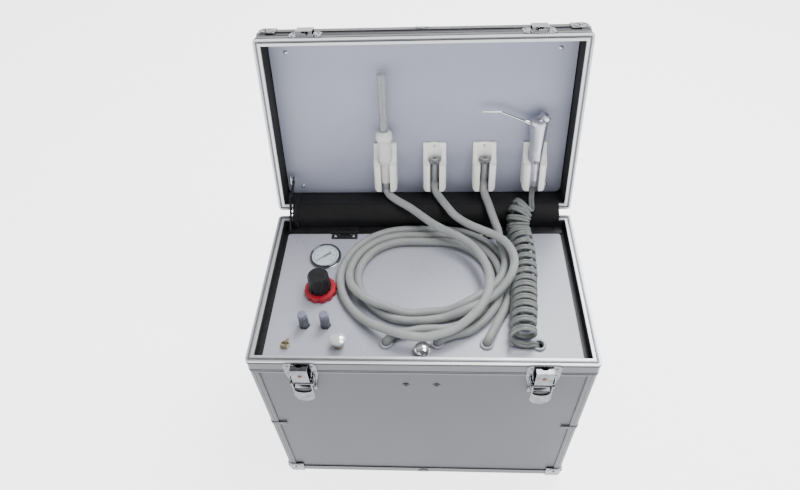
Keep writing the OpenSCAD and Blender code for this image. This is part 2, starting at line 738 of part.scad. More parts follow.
module instrument_holders() color("#ecebe6")
    for (i = [0:3]) on_panel(holder_x0 + i*holder_pitch) holder();

// upright axis of an instrument in holder i, measured up from the holder's foot
module in_holder(i) {
    on_panel(holder_x0 + i*holder_pitch) translate([0, 0, axis_d]) rotate([-90, 0, 0]) children();
}

shank_r = socket_r - clear;
cone_gap = 0.35;

// turned piece that seats in the funnel: its cone runs beside the funnel's wall
module seat_cone(y0, y1) {
    slope = (funnel_r - socket_r)/(funnel_y[1] - funnel_y[0]);
    translate([0, 0, y0]) cylinder(r1 = socket_r + (y0 - funnel_y[0])*slope - cone_gap,
        r2 = socket_r + (y1 - funnel_y[0])*slope - cone_gap, h = y1 - y0);
}

module ejector_handle() color("#f1efec") in_holder(0) difference() {
    union() {
        translate([0, 0, 11]) cylinder(r1 = shank_r - 0.6, r2 = shank_r, h = funnel_y[0] - 11);
        seat_cone(funnel_y[0], funnel_y[0] + 6);
        translate([0, 0, funnel_y[0] + 6]) cylinder(r = 9.1, h = 70 - funnel_y[0]);
        translate([0, 0, 74]) cylinder(r1 = 10.2, r2 = 11.5, h = 3);
        translate([0, 0, 77]) cylinder(r = 11.5, h = 8);
        translate([0, 0, 85]) cylinder(r1 = 11.5, r2 = 8.5, h = 4);
    }
    translate([0, 0, 60]) cylinder(r = tip_r + fit, h = 40);
}

// clear suction tip, pushed 24 mm into the handle, with a slotted end cap
module ejector_tip() color("#e6eef2", 0.5) in_holder(0) difference() {
    union() {
        translate([0, 0, 60 + clear]) cylinder(r = tip_r, h = 101 - 80 + tip_len - clear);
        translate([0, 0, 81 + tip_len]) cylinder(r = tip_r + 0.6, h = 6);
        translate([0, 0, 87 + tip_len]) cylinder(r1 = tip_r + 0.6, r2 = tip_r - 1, h = 2);
    }
    translate([0, 0, 55]) cylinder(r = tip_r - 1, h = 50 + tip_len);
}

// dark collar of the suction handle, and the two handpiece couplings
module handpiece_connectors() color("#55585c") {
    in_holder(0) translate([0, 0, 2]) cylinder(r = shank_r - 1, h = 9);
    for (i = [1, 2]) in_holder(i) difference() {
        union() {
            translate([0, 0, 10]) cylinder(r = 6, h = 4);
            translate([0, 0, 14]) cylinder(r1 = 5, r2 = 5.4, h = funnel_y[0] - 14 + eps);
            translate([0, 0, funnel_y[0]]) cylinder(r1 = 5.4, r2 = 7, h = 1);
            seat_cone(funnel_y[0] + 1, funnel_y[0] + 6);
            translate([0, 0, funnel_y[0] + 6]) cylinder(r = 7, h = 2);
        }
        // bore and four ports in the coupling's face
        translate([0, 0, funnel_y[0] + 2]) cylinder(r = 2.2, h = 10);
        for (a = [45:90:315]) rotate(a) translate([4.2, 0, funnel_y[0] + 4]) cylinder(r = 0.9, h = 6);
    }
}

// three-way syringe
head_y = 98;
nozzle_from = [-11, 97.5];
nozzle_bend = [-51, 114];
nozzle_tip = [-77, 115];
nozzle_a = atan2(nozzle_bend[1] - nozzle_from[1], nozzle_bend[0] - nozzle_from[0]);
nozzle_r = 1.9;
button_a = 40;                      // tilt of the buttons' travel off the handle's axis
button_r = 3.1;
button_out = 13.4;                  // how far the buttons' pocket floor lies from the head's middle

module syringe_body() color("#c9cbce") in_holder(3) difference() {
    union() {
        translate([0, 0, 4]) cylinder(r1 = 6.2, r2 = shank_r, h = 10);
        translate([0, 0, 14]) cylinder(r = shank_r, h = funnel_y[0] - 14);
        seat_cone(funnel_y[0], funnel_y[0] + 6);
        translate([0, 0, funnel_y[0] + 6]) cylinder(r1 = 9.1, r2 = 9.4, h = 14);
        translate([0, 0, 60]) cylinder(r1 = 9.4, r2 = 12.6, h = head_y - 60);
        translate([0, 0, head_y]) intersection() {
            sphere(r = 12.6);
            translate([0, 0, -1]) cylinder(r = 14, h = 9);
        }
        // collar of the nozzle
        translate([nozzle_from[0], 0, nozzle_from[1]]) rotate([0, 90 - nozzle_a, 0])
            translate([0, 0, -6]) cylinder(r = 4, h = 9);
        // button housing
        translate([0, 0, head_y - 1]) rotate([0, button_a, 0]) translate([0, 0, 4])
            cylinder(r = 8.5, h = button_out - 2.6);
    }
    translate([nozzle_from[0], 0, nozzle_from[1]]) rotate([0, 90 - nozzle_a, 0])
        translate([0, 0, -4]) cylinder(r = nozzle_r + fit, h = 20);
    for (s = [-1, 1]) translate([0, 0, head_y - 1]) rotate([0, button_a, 0])
        translate([0, s*4.2, button_out - 5]) cylinder(r = button_r + fit, h = 10);
}

module syringe_nozzle() color("#d5d7da") in_holder(3) {
    d1 = norm(nozzle_bend - nozzle_from);
    d2 = norm(nozzle_tip - nozzle_bend);
    tip_a = atan2(nozzle_tip[1] - nozzle_bend[1], nozzle_tip[0] - nozzle_bend[0]);
    translate([nozzle_from[0], 0, nozzle_from[1]]) rotate([0, 90 - nozzle_a, 0])
        translate([0, 0, -3.7]) cylinder(r = nozzle_r, h = d1 + 3.7);
    translate([nozzle_from[0], 0, nozzle_from[1]]) rotate([0, 90 - nozzle_a, 0])
        translate([0, 0, 3.3]) cylinder(r1 = 3.6, r2 = 2.6, h = 5);
    translate([nozzle_bend[0], 0, nozzle_bend[1]]) sphere(r = nozzle_r + 0.1);
    translate([nozzle_bend[0], 0, nozzle_bend[1]]) rotate([0, 90 - tip_a, 0])
        cylinder(r1 = nozzle_r, r2 = 1.3, h = d2);
}

module syringe_button(s) {
    in_holder(3) translate([0, 0, head_y - 1]) rotate([0, button_a, 0])
        translate([0, s*4.2, button_out - 2.7]) {
            cylinder(r = button_r, h = 5.2);
            translate([0, 0, 5.2 - eps]) dome(button_r, 1);
        }
}
module air_button() color("#3f7fb5") syringe_button(-1);
module water_button() color("#3f7fb5") syringe_button(1);

// ---------- deck and its controls ----------

module deck_panel() color("#bcbdc9") difference() {
    union() {
        translate([0, (deck_y0 + deck_y1)/2, deck_z - deck_t]) linear_extrude(deck_t)
            rrect(2*deck_x, deck_y1 - deck_y0, 3);
        // stiffening ribs under the sheet
        for (s = [-1, 1]) translate([s*(case_w/2 - lining_in - rail_w - 4), (deck_y0 + deck_y1)/2, deck_z - deck_t - 6])
            cube([1.5, deck_y1 - deck_y0 - 40, 12 + 2*eps], center = true);
    }
    translate([0, 0, deck_z - deck_t - 20]) {
        translate(gauge_at) cylinder(r = gauge_r - 2.2, h = 40);
        translate(reg_at) cylinder(r = 12.2, h = 40);
        for (p = flow_at) translate(p) cylinder(r = 4.1, h = 40);
        translate(toggle_at) cylinder(r = 3.6, h = 40);
        translate(purge_at) cylinder(r = 4.1, h = 40);
        translate(knob_at) cylinder(r = 2.6, h = 40);
        for (p = concat(hose_at, [curly_at])) translate(p) cylinder(r = grommet_r - 1.2, h = 40);
    }
}

// moving halves of the deck hinges, with their screws
module deck_hinges() color("#1f2022") {
    for (x = deck_hinge_x) translate([x, 0, 0]) {
        difference() {
            union() {
                translate([-deck_hinge_w/2, deck_y1 - 10, deck_z]) cube([deck_hinge_w, 10 - 2.6, leaf_t]);
                translate([-deck_hinge_w/6 + 0.3, deck_y1 - 4, deck_z])
                    cube([deck_hinge_w/3 - 0.6, 4 + deck_hinge_y - deck_y1, leaf_t]);
                translate([0, deck_hinge_y, deck_hinge_z]) rotate([0, 90, 0])
                    cylinder(r = deck_knuckle_r, h = deck_hinge_w/3 - 0.6, center = true);
            }
            translate([0, deck_hinge_y, deck_hinge_z]) rotate([0, 90, 0])
                cylinder(r = deck_pin_r + fit, h = deck_hinge_w, center = true);
        }
        for (s = [-1, 1]) translate([s*13, deck_y1 - 6, deck_z + leaf_t - eps]) dome(2, 1);
    }
}

module pull_knob() color("#d2d4d7") on_deck(knob_at) {
    translate([0, 0, -deck_t - 4]) cylinder(r = 2.5, h = deck_t + 5);
    translate([0, 0, -deck_t - 3]) cylinder(r = 4.6, h = 3 - clear/3, $fn = 6);
    cylinder(r = 8, h = 4);
    translate([0, 0, 4]) cylinder(r1 = 5.5, r2 = 5, h = 3);
    translate([0, 0, 7]) cylinder(r1 = 8.5, r2 = 10, h = 3);
    translate([0, 0, 10 - eps]) dome(10, 4.5);
}

module gauge_case() color("#9b9da0") on_deck(gauge_at) {
    difference() {
        union() {
            translate([0, 0, -26]) cylinder(r = gauge_r - 2.5, h = 34);
            translate([0, 0, -34]) cylinder(r = 5, h = 8.1);
            cylinder(r = gauge_r + 0.8, h = 1.2);
            translate([0, 0, 1.2]) cylinder(r = gauge_r, h = 6.4);
            translate([0, 0, 7.6]) cylinder(r1 = gauge_r, r2 = gauge_r - 1.2, h = 1.4);
        }
        translate([0, 0, 3]) cylinder(r = gauge_r - 3.5, h = 20);
        translate([0, 0, 6.5]) cylinder(r = gauge_r - 2.6, h = 20);
    }
}

module gauge_dial() color("#eef0ef") on_deck(gauge_at) {
    translate([0, 0, 3]) cylinder(r = gauge_r - 3.6, h = 0.8);
    translate([0, 0, 3.8]) cylinder(r = 0.8, h = 1.7);
}

// needle at rest, on its zero at the lower left, with a broad tail behind the pin
needle_a = 218;
module gauge_needle() color("#1a1a1c") on_deck(gauge_at) translate([0, 0, 4.3]) rotate(needle_a) {
    difference() {
        cylinder(r = 2.4, h = 0.6);
        translate([0, 0, -1]) cylinder(r = 0.8 + fit, h = 4);
    }
    linear_extrude(0.6) polygon([[2, -0.8], [2, 0.8], [gauge_r - 6, 0.3], [gauge_r - 6, -0.3]]);
    translate([-8, -1.3, 0]) cube([6.2, 2.6, 0.6]);
}

module gauge_lens() color("#dfe8ee", 0.3) on_deck(gauge_at)
    translate([0, 0, 6.5]) cylinder(r = gauge_r - 2.7, h = 1.2);

// scalloped ring nut of the regulator
module ring_nut() color("#b3122a") on_deck(reg_at) difference() {
    union() {
        cylinder(r = nut_r, h = 6);
        translate([0, 0, 6]) cylinder(r1 = nut_r, r2 = nut_r - 2, h = 2);
    }
    translate([0, 0, -1]) cylinder(r = 12.2, h = 20);
    for (i = [0:11]) rotate(i*30) translate([nut_r + 2.6, 0, -1]) cylinder(r = 4, h = 20);
}

// ribbed knob of the regulator
module regulator_knob() color("#1d1d1f") on_deck(reg_at) translate([0, 0, 8.3]) difference() {
    union() {
        cylinder(r1 = 15, r2 = 13.6, h = reg_knob_h - 2);
        translate([0, 0, reg_knob_h - 2]) cylinder(r1 = 13.6, r2 = 11.8, h = 2);
    }
    translate([0, 0, -1]) cylinder(r = 7 + fit, h = 15);
    for (i = [0:11]) rotate(i*30) translate([16.3, 0, -1]) cylinder(r = 2.8, h = reg_knob_h - 5);
}

// bodies of the controls: regulator, two needle valves, toggle bush and push valve
module control_valves() color("#a8894a") {
    on_deck(reg_at) {
        translate([0, 0, -44]) cylinder(r = 20, h = 42 - clear);
        translate([0, 0, -deck_t - 1]) cylinder(r = 12, h = deck_t + 9);
        cylinder(r = 7, h = 20);
        translate([-30, -7, -34]) cube([60, 14, 14]);
    }
    for (p = flow_at) on_deck(p) {
        translate([0, 0, -24]) cylinder(r = 8, h = 22 - clear, $fn = 6);
        translate([0, 0, -3]) cylinder(r = 4, h = 12);
        cylinder(r = 7, h = 3, $fn = 6);
    }
    on_deck(toggle_at) difference() {
        union() {
            translate([0, 0, -22]) cylinder(r = 7, h = 20 - clear);
            translate([0, 0, -3]) cylinder(r = 3.5, h = 9);
            cylinder(r = 6.4, h = 2.6, $fn = 6);
            translate([0, 0, 2.6]) cylinder(r = 4.8, h = 2.6);
        }
        translate([0, 0, -3]) cylinder(r = 2.3, h = 20);
        translate([-9, -1.6, 2]) cube([18, 3.2, 10]);
    }
    on_deck(purge_at) difference() {
        union() {
            translate([0, 0, -24]) cylinder(r = 8, h = 22 - clear);
            translate([0, 0, -3]) cylinder(r = 4, h = 8);
            cylinder(r = 6.5, h = 8);
        }
        translate([0, 0, -10]) cylinder(r = 2.5 + fit, h = 30);
    }
}

module flow_knob(p) {
    on_deck(p) translate([0, 0, 3.4]) difference() {
        union() {
            cylinder(r = flow_knob_r, h = flow_knob_h - 5);
            translate([0, 0, flow_knob_h - 5]) cylinder(r = flow_knob_r - 0.4, h = 4);
            translate([0, 0, flow_knob_h - 1]) cylinder(r1 = flow_knob_r - 0.4, r2 = flow_knob_r - 1.2, h = 1);
        }
        translate([0, 0, -1]) cylinder(r = 4 + fit, h = 8);
        for (i = [0:17]) rotate(i*20) translate([flow_knob_r + 0.35, 0, -1])
            cylinder(r = 0.7, h = flow_knob_h - 5);
    }
}
module flow_knob_left() color("#6d7075") flow_knob(flow_at[0]);
module flow_knob_right() color("#6d7075") flow_knob(flow_at[1]);

toggle_tilt = 25;
toggle_pivot_h = 2.8;
module toggle_lever() color("#b09a5c") on_deck(toggle_at) translate([0, 0, toggle_pivot_h])
    rotate([0, toggle_tilt, 0]) {
        rotate([90, 0, 0]) cylinder(r = 1.6, h = 2.9, center = true);
        cylinder(r1 = 1.1, r2 = 1.9, h = 14);
        translate([0, 0, 14 - eps]) dome(1.9, 1.6);
    }

purge_travel = 3;
module purge_button() color("#e8e9ea") on_deck(purge_at) {
    translate([0, 0, -4]) cylinder(r = 2.5, h = 8 + purge_travel + 4.8);
    translate([0, 0, 8 + purge_travel + 0.4]) cylinder(r = 9.2, h = 3.9);
    translate([0, 0, 8 + purge_travel + 4.3 - eps]) dome(9.2, 2.6);
}

module hose_grommets() color("#26272a")
    for (p = concat(hose_at, [curly_at])) on_deck(p) difference() {
        union() {
            cylinder(r = grommet_r, h = grommet_h - 1);
            translate([0, 0, grommet_h - 1]) cylinder(r1 = grommet_r, r2 = grommet_r - 1, h = 1);
            translate([0, 0, -deck_t - 2]) cylinder(r = grommet_r - 1.2, h = deck_t + 2.1);
        }
        translate([0, 0, -10]) cylinder(r = hose_r + 0.1, h = 20);
    }

// ---------- latches ----------

module latch_plates() color("#bfc1c4")
    for (s = [-1, 1]) on_front(s*latch_x, 0) difference() {
        union() {
            // plate, wide at the top and narrowing to a round foot
            linear_extrude(plate_t) difference() {
                union() {
                    translate([-latch_w/2, rim_z - 26]) square([latch_w, 24]);
                    translate([0, rim_z - 26]) polygon([[-latch_w/2, 0], [latch_w/2, 0],
                        [14.5, -22], [14.5, -36], [-14.5, -36], [-14.5, -22]]);
                }
                for (k = [-1, 1]) translate([k*latch_w/2, rim_z - 2]) rotate(45)
                    square([5, 5], center = true);
            }
            for (k = [-1, 1]) translate([k*(ear_x + flange_t/2), latch_pivot[1], 0]) {
                translate([-flange_t/2, -8, plate_t - eps]) cube([flange_t, 16, latch_pivot[0] - plate_t]);
                translate([0, 0, latch_pivot[0]]) rotate([0, 90, 0])
                    cylinder(r = 4, h = flange_t, center = true);
                // stub pin through the lever's flange, ending short of the claw
                translate([-k*0.9, 0, latch_pivot[0]]) rotate([0, 90, 0])
                    cylinder(r = 1.8, h = 2*flange_t + 0.9, center = true);
            }
            for (k = [-1, 1], h = [rim_z - 8, rim_z - 22]) translate([k*(latch_w/2 - 4.2), h, plate_t - eps])
                dome(2, 0.9);
        }
    }

// side view of a lever: flanges round both pivots, then the paddle
module latch_lever() {
    p = latch_pivot;
    c = claw_pivot;
    difference() {
        union() {
            for (k = [-1, 1]) translate([k*(flange_x + flange_t/2), 0, 0]) rotate([90, 0, 90])
                linear_extrude(flange_t, center = true) {
                    // drawn as x = height, y = distance out of the case
                    rotate(90) mirror([0, 1]) {
                        translate([p[0], p[1]]) circle(r = 4.1);
                        translate([c[0], c[1]]) circle(r = 2.4);
                        polygon([[c[0] - 2.4, c[1]], [p[0] - 4.1, p[1]], [p[0] + 4.1, p[1]],
                            [p[0] + 4.1, p[1] - 18], [p[0] + 2, p[1] - 18]]);
                    }
                }
            // paddle with a half-round opening at its top and a round end
            translate([0, 0, p[0] + 2.9]) linear_extrude(1.2) difference() {
                union() {
                    translate([-flange_x - flange_t, p[1] - 26]) square([2*(flange_x + flange_t), 13]);
                    translate([0, p[1] - 26]) circle(r = flange_x + flange_t);
                }
                translate([0, p[1] - 12]) scale([1, 0.62]) circle(r = flange_x - 0.4);
            }
            // cross pin that carries the claw
            translate([0, c[1], c[0]]) rotate([0, 90, 0])
                cylinder(r = 1, h = 2*flange_x + 1, center = true);
        }
        translate([0, p[1], p[0]]) rotate([0, 90, 0]) cylinder(r = 1.8 + fit, h = 60, center = true);
    }
}
module latch_lever_left() color("#c8cacd") on_front(-latch_x, 0) latch_lever();
module latch_lever_right() color("#c8cacd") on_front(latch_x, 0) latch_lever();

// claw: curls round the lever's pin, steps out and ends in a notched hook
module latch_claw() {
    t = 1.2;
    c = claw_pivot;
    step = latch_pivot[1] + 5;
    difference() {
        union() {
            translate([0, c[1], c[0]]) rotate([0, 90, 0]) cylinder(r = 2.2, h = claw_w, center = true);
            translate([-claw_w/2, c[1], c[0] - 2.2]) cube([claw_w, step - c[1] + t, t]);
            translate([-claw_w/2, step, c[0] - 2.2]) cube([claw_w, t, claw_out - c[0] + 2.2]);
            translate([-claw_w/2, step, claw_out - t]) cube([claw_w, claw_top - step, t]);
            translate([-claw_w/2, claw_top - t, 1.8]) cube([claw_w, t, claw_out - 1.8]);
            translate([0, (step + claw_top)/2, claw_out - eps]) dome(2.4, 1);
        }
        translate([0, c[1], c[0]]) rotate([0, 90, 0]) cylinder(r = 1 + fit, h = 60, center = true);
        translate([0, claw_top, -1.7]) rotate([90, 0, 0]) cylinder(r = 6.5, h = 6, center = true);
    }
}
module latch_claw_left() color("#d4d6d9") on_front(-latch_x, 0) latch_claw();
module latch_claw_right() color("#d4d6d9") on_front(latch_x, 0) latch_claw();

// strikes on the lid: plate, raised loop and the tongue that the claw hooks
module latch_strikes() color("#bfc1c4") on_lid()
    for (s = [-1, 1]) on_front(s*latch_x, lid_z0) {
        linear_extrude(plate_t) difference() {
            translate([-latch_w/2, 1.5]) square([latch_w, 25]);
            for (k = [-1, 1], h = [1.5, 26.5]) translate([k*latch_w/2, h]) rotate(45)
                square([5, 5], center = true);
        }
        difference() {
            translate([-claw_w/2, 2, plate_t - eps]) cube([claw_w, 20, 6.8]);
            translate([-claw_w/2 - 1, 4, plate_t + 1]) cube([claw_w + 2, 16, 4.2]);
        }
        translate([-3.4, claw_top - lid_z0 - 2.7, 2.2]) cube([6.8, 4.7 + lid_z0 - claw_top + eps, 1.2]);
        translate([-4.5, claw_top - lid_z0 - 2.7, 2.2]) cube([9, 1.2, 5.3]);
        for (k = [-1, 1], h = [7, 21]) translate([k*(latch_w/2 - 4.2), h, plate_t - eps]) dome(2, 0.9);
    }

// ---------- carrying handle on the lid ----------

handle_x = 62;
lid_face = lid_z1 - skin_t;          // outside of the lid's top board
handle_z = lid_face + 7.5;
handle_drop = 34;
bail_r = 3;
arm_x = handle_x - 9.4;               // middle of each arm of the bail

module handle_brackets() color("#b9bbbe") on_lid()
    for (s = [-1, 1]) translate([s*(handle_x + 2), 0, lid_face]) difference() {
        union() {
            translate([-11, -13, 0]) cube([22, 26, 1.5]);
            for (k = [-1, 1]) translate([k*7 - 1, 0, 1.5 - eps]) {
                translate([0, -5, 0]) cube([2, 10, handle_z - lid_face - 1.5]);
                translate([0, 0, handle_z - lid_face - 1.5]) rotate([0, 90, 0]) cylinder(r = 5, h = 2);
            }
            for (k = [-1, 1]) translate([0, k*9.5, 1.5 - eps]) dome(2.2, 1);
        }
        translate([-20, 0, handle_z - lid_face]) rotate([0, 90, 0]) cylinder(r = bail_r + fit, h = 40);
    }

// steel bail with a round grip, hanging plumb while the lid is open
module carry_handle() color("#232325") on_lid()
    translate([0, 0, handle_z]) rotate([lid_open - 90, 0, 0]) {
        for (s = [-1, 1]) {
            translate([s*(arm_x + 10.3), 0, 0]) rotate([0, 90, 0]) cylinder(r = bail_r, h = 20.6, center = true);
            translate([s*arm_x, 0, 0]) sphere(r = bail_r);
            translate([s*arm_x, 0, 0]) rotate([-90, 0, 0]) cylinder(r = bail_r, h = handle_drop);
            translate([s*arm_x, handle_drop, 0]) sphere(r = bail_r);
        }
        translate([0, handle_drop, 0]) rotate([0, 90, 0]) cylinder(r = bail_r, h = 2*arm_x, center = true);
        translate([0, handle_drop, 0]) rotate([0, 90, 0]) cylinder(r = 5.6, h = 84, center = true);
    }

// ---------- nodes ----------

base_panels();
base_frame();
base_rim();
base_corner_caps();
base_trim();
base_lining();
deck_rails();
rubber_feet();
latch_plates();
base_hinge_leaf();
hinge_flap();
power_inlet();
compressor();
air_tank();
bottles();
hose_spans();
curly_lead();
lid_panels();
lid_frame();
lid_rim();
lid_corner_caps();
lid_lining();
lid_inner_panel();
lid_hinge_leaf();
latch_strikes();
handle_brackets();
instrument_holders();
ejector_handle();
handpiece_connectors();
syringe_body();
lid_panel_fixings();
deck_panel();
deck_hinges();
pull_knob();
gauge_case();
gauge_dial();
gauge_lens();
ring_nut();
control_valves();
hose_grommets();
hose_coil();
curly_hose();
stay_lower();
stay_upper();
latch_lever_left();
latch_lever_right();
latch_claw_left();
latch_claw_right();
regulator_knob();
flow_knob_left();
flow_knob_right();
toggle_lever();
purge_button();
gauge_needle();
ejector_tip();
syringe_nozzle();
air_button();
water_button();
carry_handle();
rocker_switch();
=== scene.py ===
import math

import bmesh
import bpy
import numpy as np
from mathutils import Matrix, Vector


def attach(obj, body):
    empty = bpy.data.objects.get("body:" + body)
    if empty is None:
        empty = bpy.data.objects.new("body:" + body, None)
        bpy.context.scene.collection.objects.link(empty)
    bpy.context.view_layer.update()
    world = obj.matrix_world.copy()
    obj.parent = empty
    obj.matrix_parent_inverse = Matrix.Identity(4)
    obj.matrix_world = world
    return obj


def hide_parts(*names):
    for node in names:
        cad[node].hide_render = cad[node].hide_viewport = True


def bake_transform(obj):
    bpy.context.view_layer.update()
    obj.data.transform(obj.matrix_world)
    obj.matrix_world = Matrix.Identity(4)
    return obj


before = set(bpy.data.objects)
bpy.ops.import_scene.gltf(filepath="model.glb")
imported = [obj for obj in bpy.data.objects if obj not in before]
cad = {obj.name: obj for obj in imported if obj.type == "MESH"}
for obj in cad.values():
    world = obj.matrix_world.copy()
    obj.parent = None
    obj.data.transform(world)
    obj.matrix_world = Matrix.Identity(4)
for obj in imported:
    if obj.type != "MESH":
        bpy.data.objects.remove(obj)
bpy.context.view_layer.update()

# looks of the portable dental unit, sizes in millimetres until a mesh is made
scene = bpy.context.scene
print("frame loaded,", len(cad), "nodes")

# the case, the pin that its lid turns on, and the row of holders as it is on the shut lid
caseSize = {"halfWide": 210, "halfDeep": 122.5, "foot": 4, "lidTop": 371.6}
lidHinge = {"open": 104, "y": 127.5, "z": 325.3}
holderRow = {"first": -53, "apart": 70, "foot": 98, "face": 346}

# camera at the photograph's angle
cameraSetup = {"lens": 27.14, "sensor": 36.0, "place": (14.0, -494.1, 942.5),
               "yaw": -4.60, "down": 47.76, "roll": -3.41}


def makeCamera():
    yaw, down, roll = (math.radians(cameraSetup[k]) for k in ("yaw", "down", "roll"))
    ahead = Vector((math.sin(yaw)*math.cos(down), math.cos(yaw)*math.cos(down), -math.sin(down)))
    level = Vector((math.cos(yaw), -math.sin(yaw), 0))
    up = level.cross(ahead)
    side = level*math.cos(roll) + up*math.sin(roll)
    top = up*math.cos(roll) - level*math.sin(roll)
    data = bpy.data.cameras.new("photoCamera")
    data.lens = cameraSetup["lens"]
    data.sensor_width = cameraSetup["sensor"]
    data.sensor_fit = "HORIZONTAL"
    data.clip_start = 0.01
    data.clip_end = 60
    camera = bpy.data.objects.new("photoCamera", data)
    scene.collection.objects.link(camera)
    place = Matrix.Translation(Vector(cameraSetup["place"])*0.001)
    camera.matrix_world = place @ Matrix((side, top, -ahead)).transposed().to_4x4()
    scene.camera = camera


makeCamera()


# small tools
def colour(hexText):
    parts = [int(hexText[i:i + 2], 16)/255 for i in (1, 3, 5)]
    return [c/12.92 if c <= 0.04045 else ((c + 0.055)/1.055)**2.4 for c in parts] + [1.0]


def addNode(tree, kind, inputs=None, **settings):
    node = tree.nodes.new(kind)
    for name, value in settings.items():
        setattr(node, name, value)
    for name, value in (inputs or {}).items():
        if isinstance(value, bpy.types.NodeSocket):
            tree.links.new(value, node.inputs[name])
        else:
            node.inputs[name].default_value = value
    return node


def addPiece(name, verts, faces, material, body=None, replaces=(), sharp=40):
    mesh = bpy.data.meshes.new(name)
    faces = [tuple(int(i) for i in face) for face in faces]
    mesh.from_pydata((np.asarray(verts, float)*0.001).tolist(), [], faces)
    work = bmesh.new()
    work.from_mesh(mesh)
    bmesh.ops.recalc_face_normals(work, faces=work.faces)
    work.to_mesh(mesh)
    work.free()
    mesh.materials.append(material)
    mesh.shade_smooth()
    mesh.set_sharp_from_angle(angle=math.radians(sharp))
    piece = bpy.data.objects.new(name, mesh)
    scene.collection.objects.link(piece)
    if body:
        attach(piece, body)
    if replaces:
        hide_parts(*replaces)
    return piece


def joined(*parts):
    # several (verts, faces) as one
    verts, faces, start = [], [], 0
    for v, f in parts:
        verts.append(np.asarray(v, float))
        faces += [tuple(i + start for i in face) for face in f]
        start += len(v)
    return np.concatenate(verts), faces


# faces of a box whose corners are the four of one end, then the four of the other
boxFaces = [(0, 1, 2, 3), (4, 5, 6, 7), (0, 1, 5, 4), (1, 2, 6, 5), (2, 3, 7, 6), (3, 0, 4, 7)]


def mixed(a, b, low, high, at):
    return (high - at)/(high - low)*a + (at - low)/(high - low)*b


def throughPoints(points, fine=10):
    # centripetal spline through the points
    knots = np.array(points, float)
    knots = np.concatenate([[2*knots[0] - knots[1]], knots, [2*knots[-1] - knots[-2]]])
    out = []
    for i in range(len(knots) - 3):
        q = knots[i:i + 4]
        t = [0.0]
        for a, b in zip(q, q[1:]):
            t.append(t[-1] + max(np.linalg.norm(b - a), 1e-6)**0.5)
        for k in range(fine):
            u = t[1] + (t[2] - t[1])*k/fine
            a1, a2, a3 = (mixed(q[j], q[j + 1], t[j], t[j + 1], u) for j in range(3))
            b1, b2 = mixed(a1, a2, t[0], t[2], u), mixed(a2, a3, t[1], t[3], u)
            out.append(mixed(b1, b2, t[1], t[2], u))
    out.append(knots[-2])
    return np.array(out)


def pathLength(points):
    return float(np.linalg.norm(np.diff(points, axis=0), axis=1).sum())


def runAlong(points):
    # how far along the line each point is
    return np.r_[0, np.cumsum(np.linalg.norm(np.diff(points, axis=0), axis=1))]


def atRun(values, run, at):
    # values given along a run, read at other places of it
    return np.stack([np.interp(at, run, values[:, k]) for k in range(3)], -1)


def ease(points, first, last):
    # each point of the stretch goes halfway to the middle of its neighbours
    middle = points[first - 1:last - 1] + points[first + 1:last + 1]
    points[first:last] = 0.5*points[first:last] + 0.25*middle


def evenPath(points, step, passes=0):
    # the same line with even steps, eased a little
    run = runAlong(points)
    line = atRun(points, run, np.linspace(0, run[-1], max(int(run[-1]/step), 3) + 1))
    for _ in range(passes):
        ease(line, 1, len(line) - 1)
    return line


def directions(line):
    ahead = np.gradient(line, axis=0)
    return ahead/np.linalg.norm(ahead, axis=1)[:, None]


def sweep(points, section, side=None, closed=False):
    # a section of (across, up) offsets carried along points; side fixes the across direction
    line = np.asarray(points, float)
    n, m = len(line), len(section)
    if closed:
        ahead = np.roll(line, -1, 0) - np.roll(line, 1, 0)
        ahead /= np.linalg.norm(ahead, axis=1)[:, None]
    else:
        ahead = directions(line)
    if side is None:
        # any direction to start from, carried along without twist
        first = np.cross(ahead[0], [0.13, 0.21, 0.97])
        across = [first/np.linalg.norm(first)]
        for i in range(1, n):
            a = across[-1] - ahead[i]*(across[-1] @ ahead[i])
            across.append(a/np.linalg.norm(a))
        across = np.array(across)
    else:
        across = side - ahead*np.sum(side*ahead, 1)[:, None]
        across /= np.linalg.norm(across, axis=1)[:, None]
    up = np.cross(ahead, across)
    verts = [line[i] + (a*across[i] + u*up[i]) for i in range(n) for a, u in section]
    faces = []
    for i in range(n if closed else n - 1):
        j = (i + 1) % n
        for k in range(m):
            l = (k + 1) % m
            faces.append((i*m + k, i*m + l, j*m + l, j*m + k))
    if not closed:
        faces.append(tuple(range(m))[::-1])
        faces.append(tuple((n - 1)*m + k for k in range(m)))
    return np.array(verts), faces


def roundSection(radius, sides):
    angles = [2*math.pi*k/sides for k in range(sides)]
    return [(radius*math.cos(a), radius*math.sin(a)) for a in angles]


def twinSection(radius, sides=12):
    # outline of two tubes side by side with a groove between, for a twin air and water tube
    apart, gap, out = radius*0.97, 22, []
    for sign, start in ((1, gap - 180), (-1, gap)):
        for k in range(sides + 1):
            a = math.radians(start + (360 - 2*gap)*k/sides)
            out.append((sign*apart + radius*math.cos(a), radius*math.sin(a)))
    return out


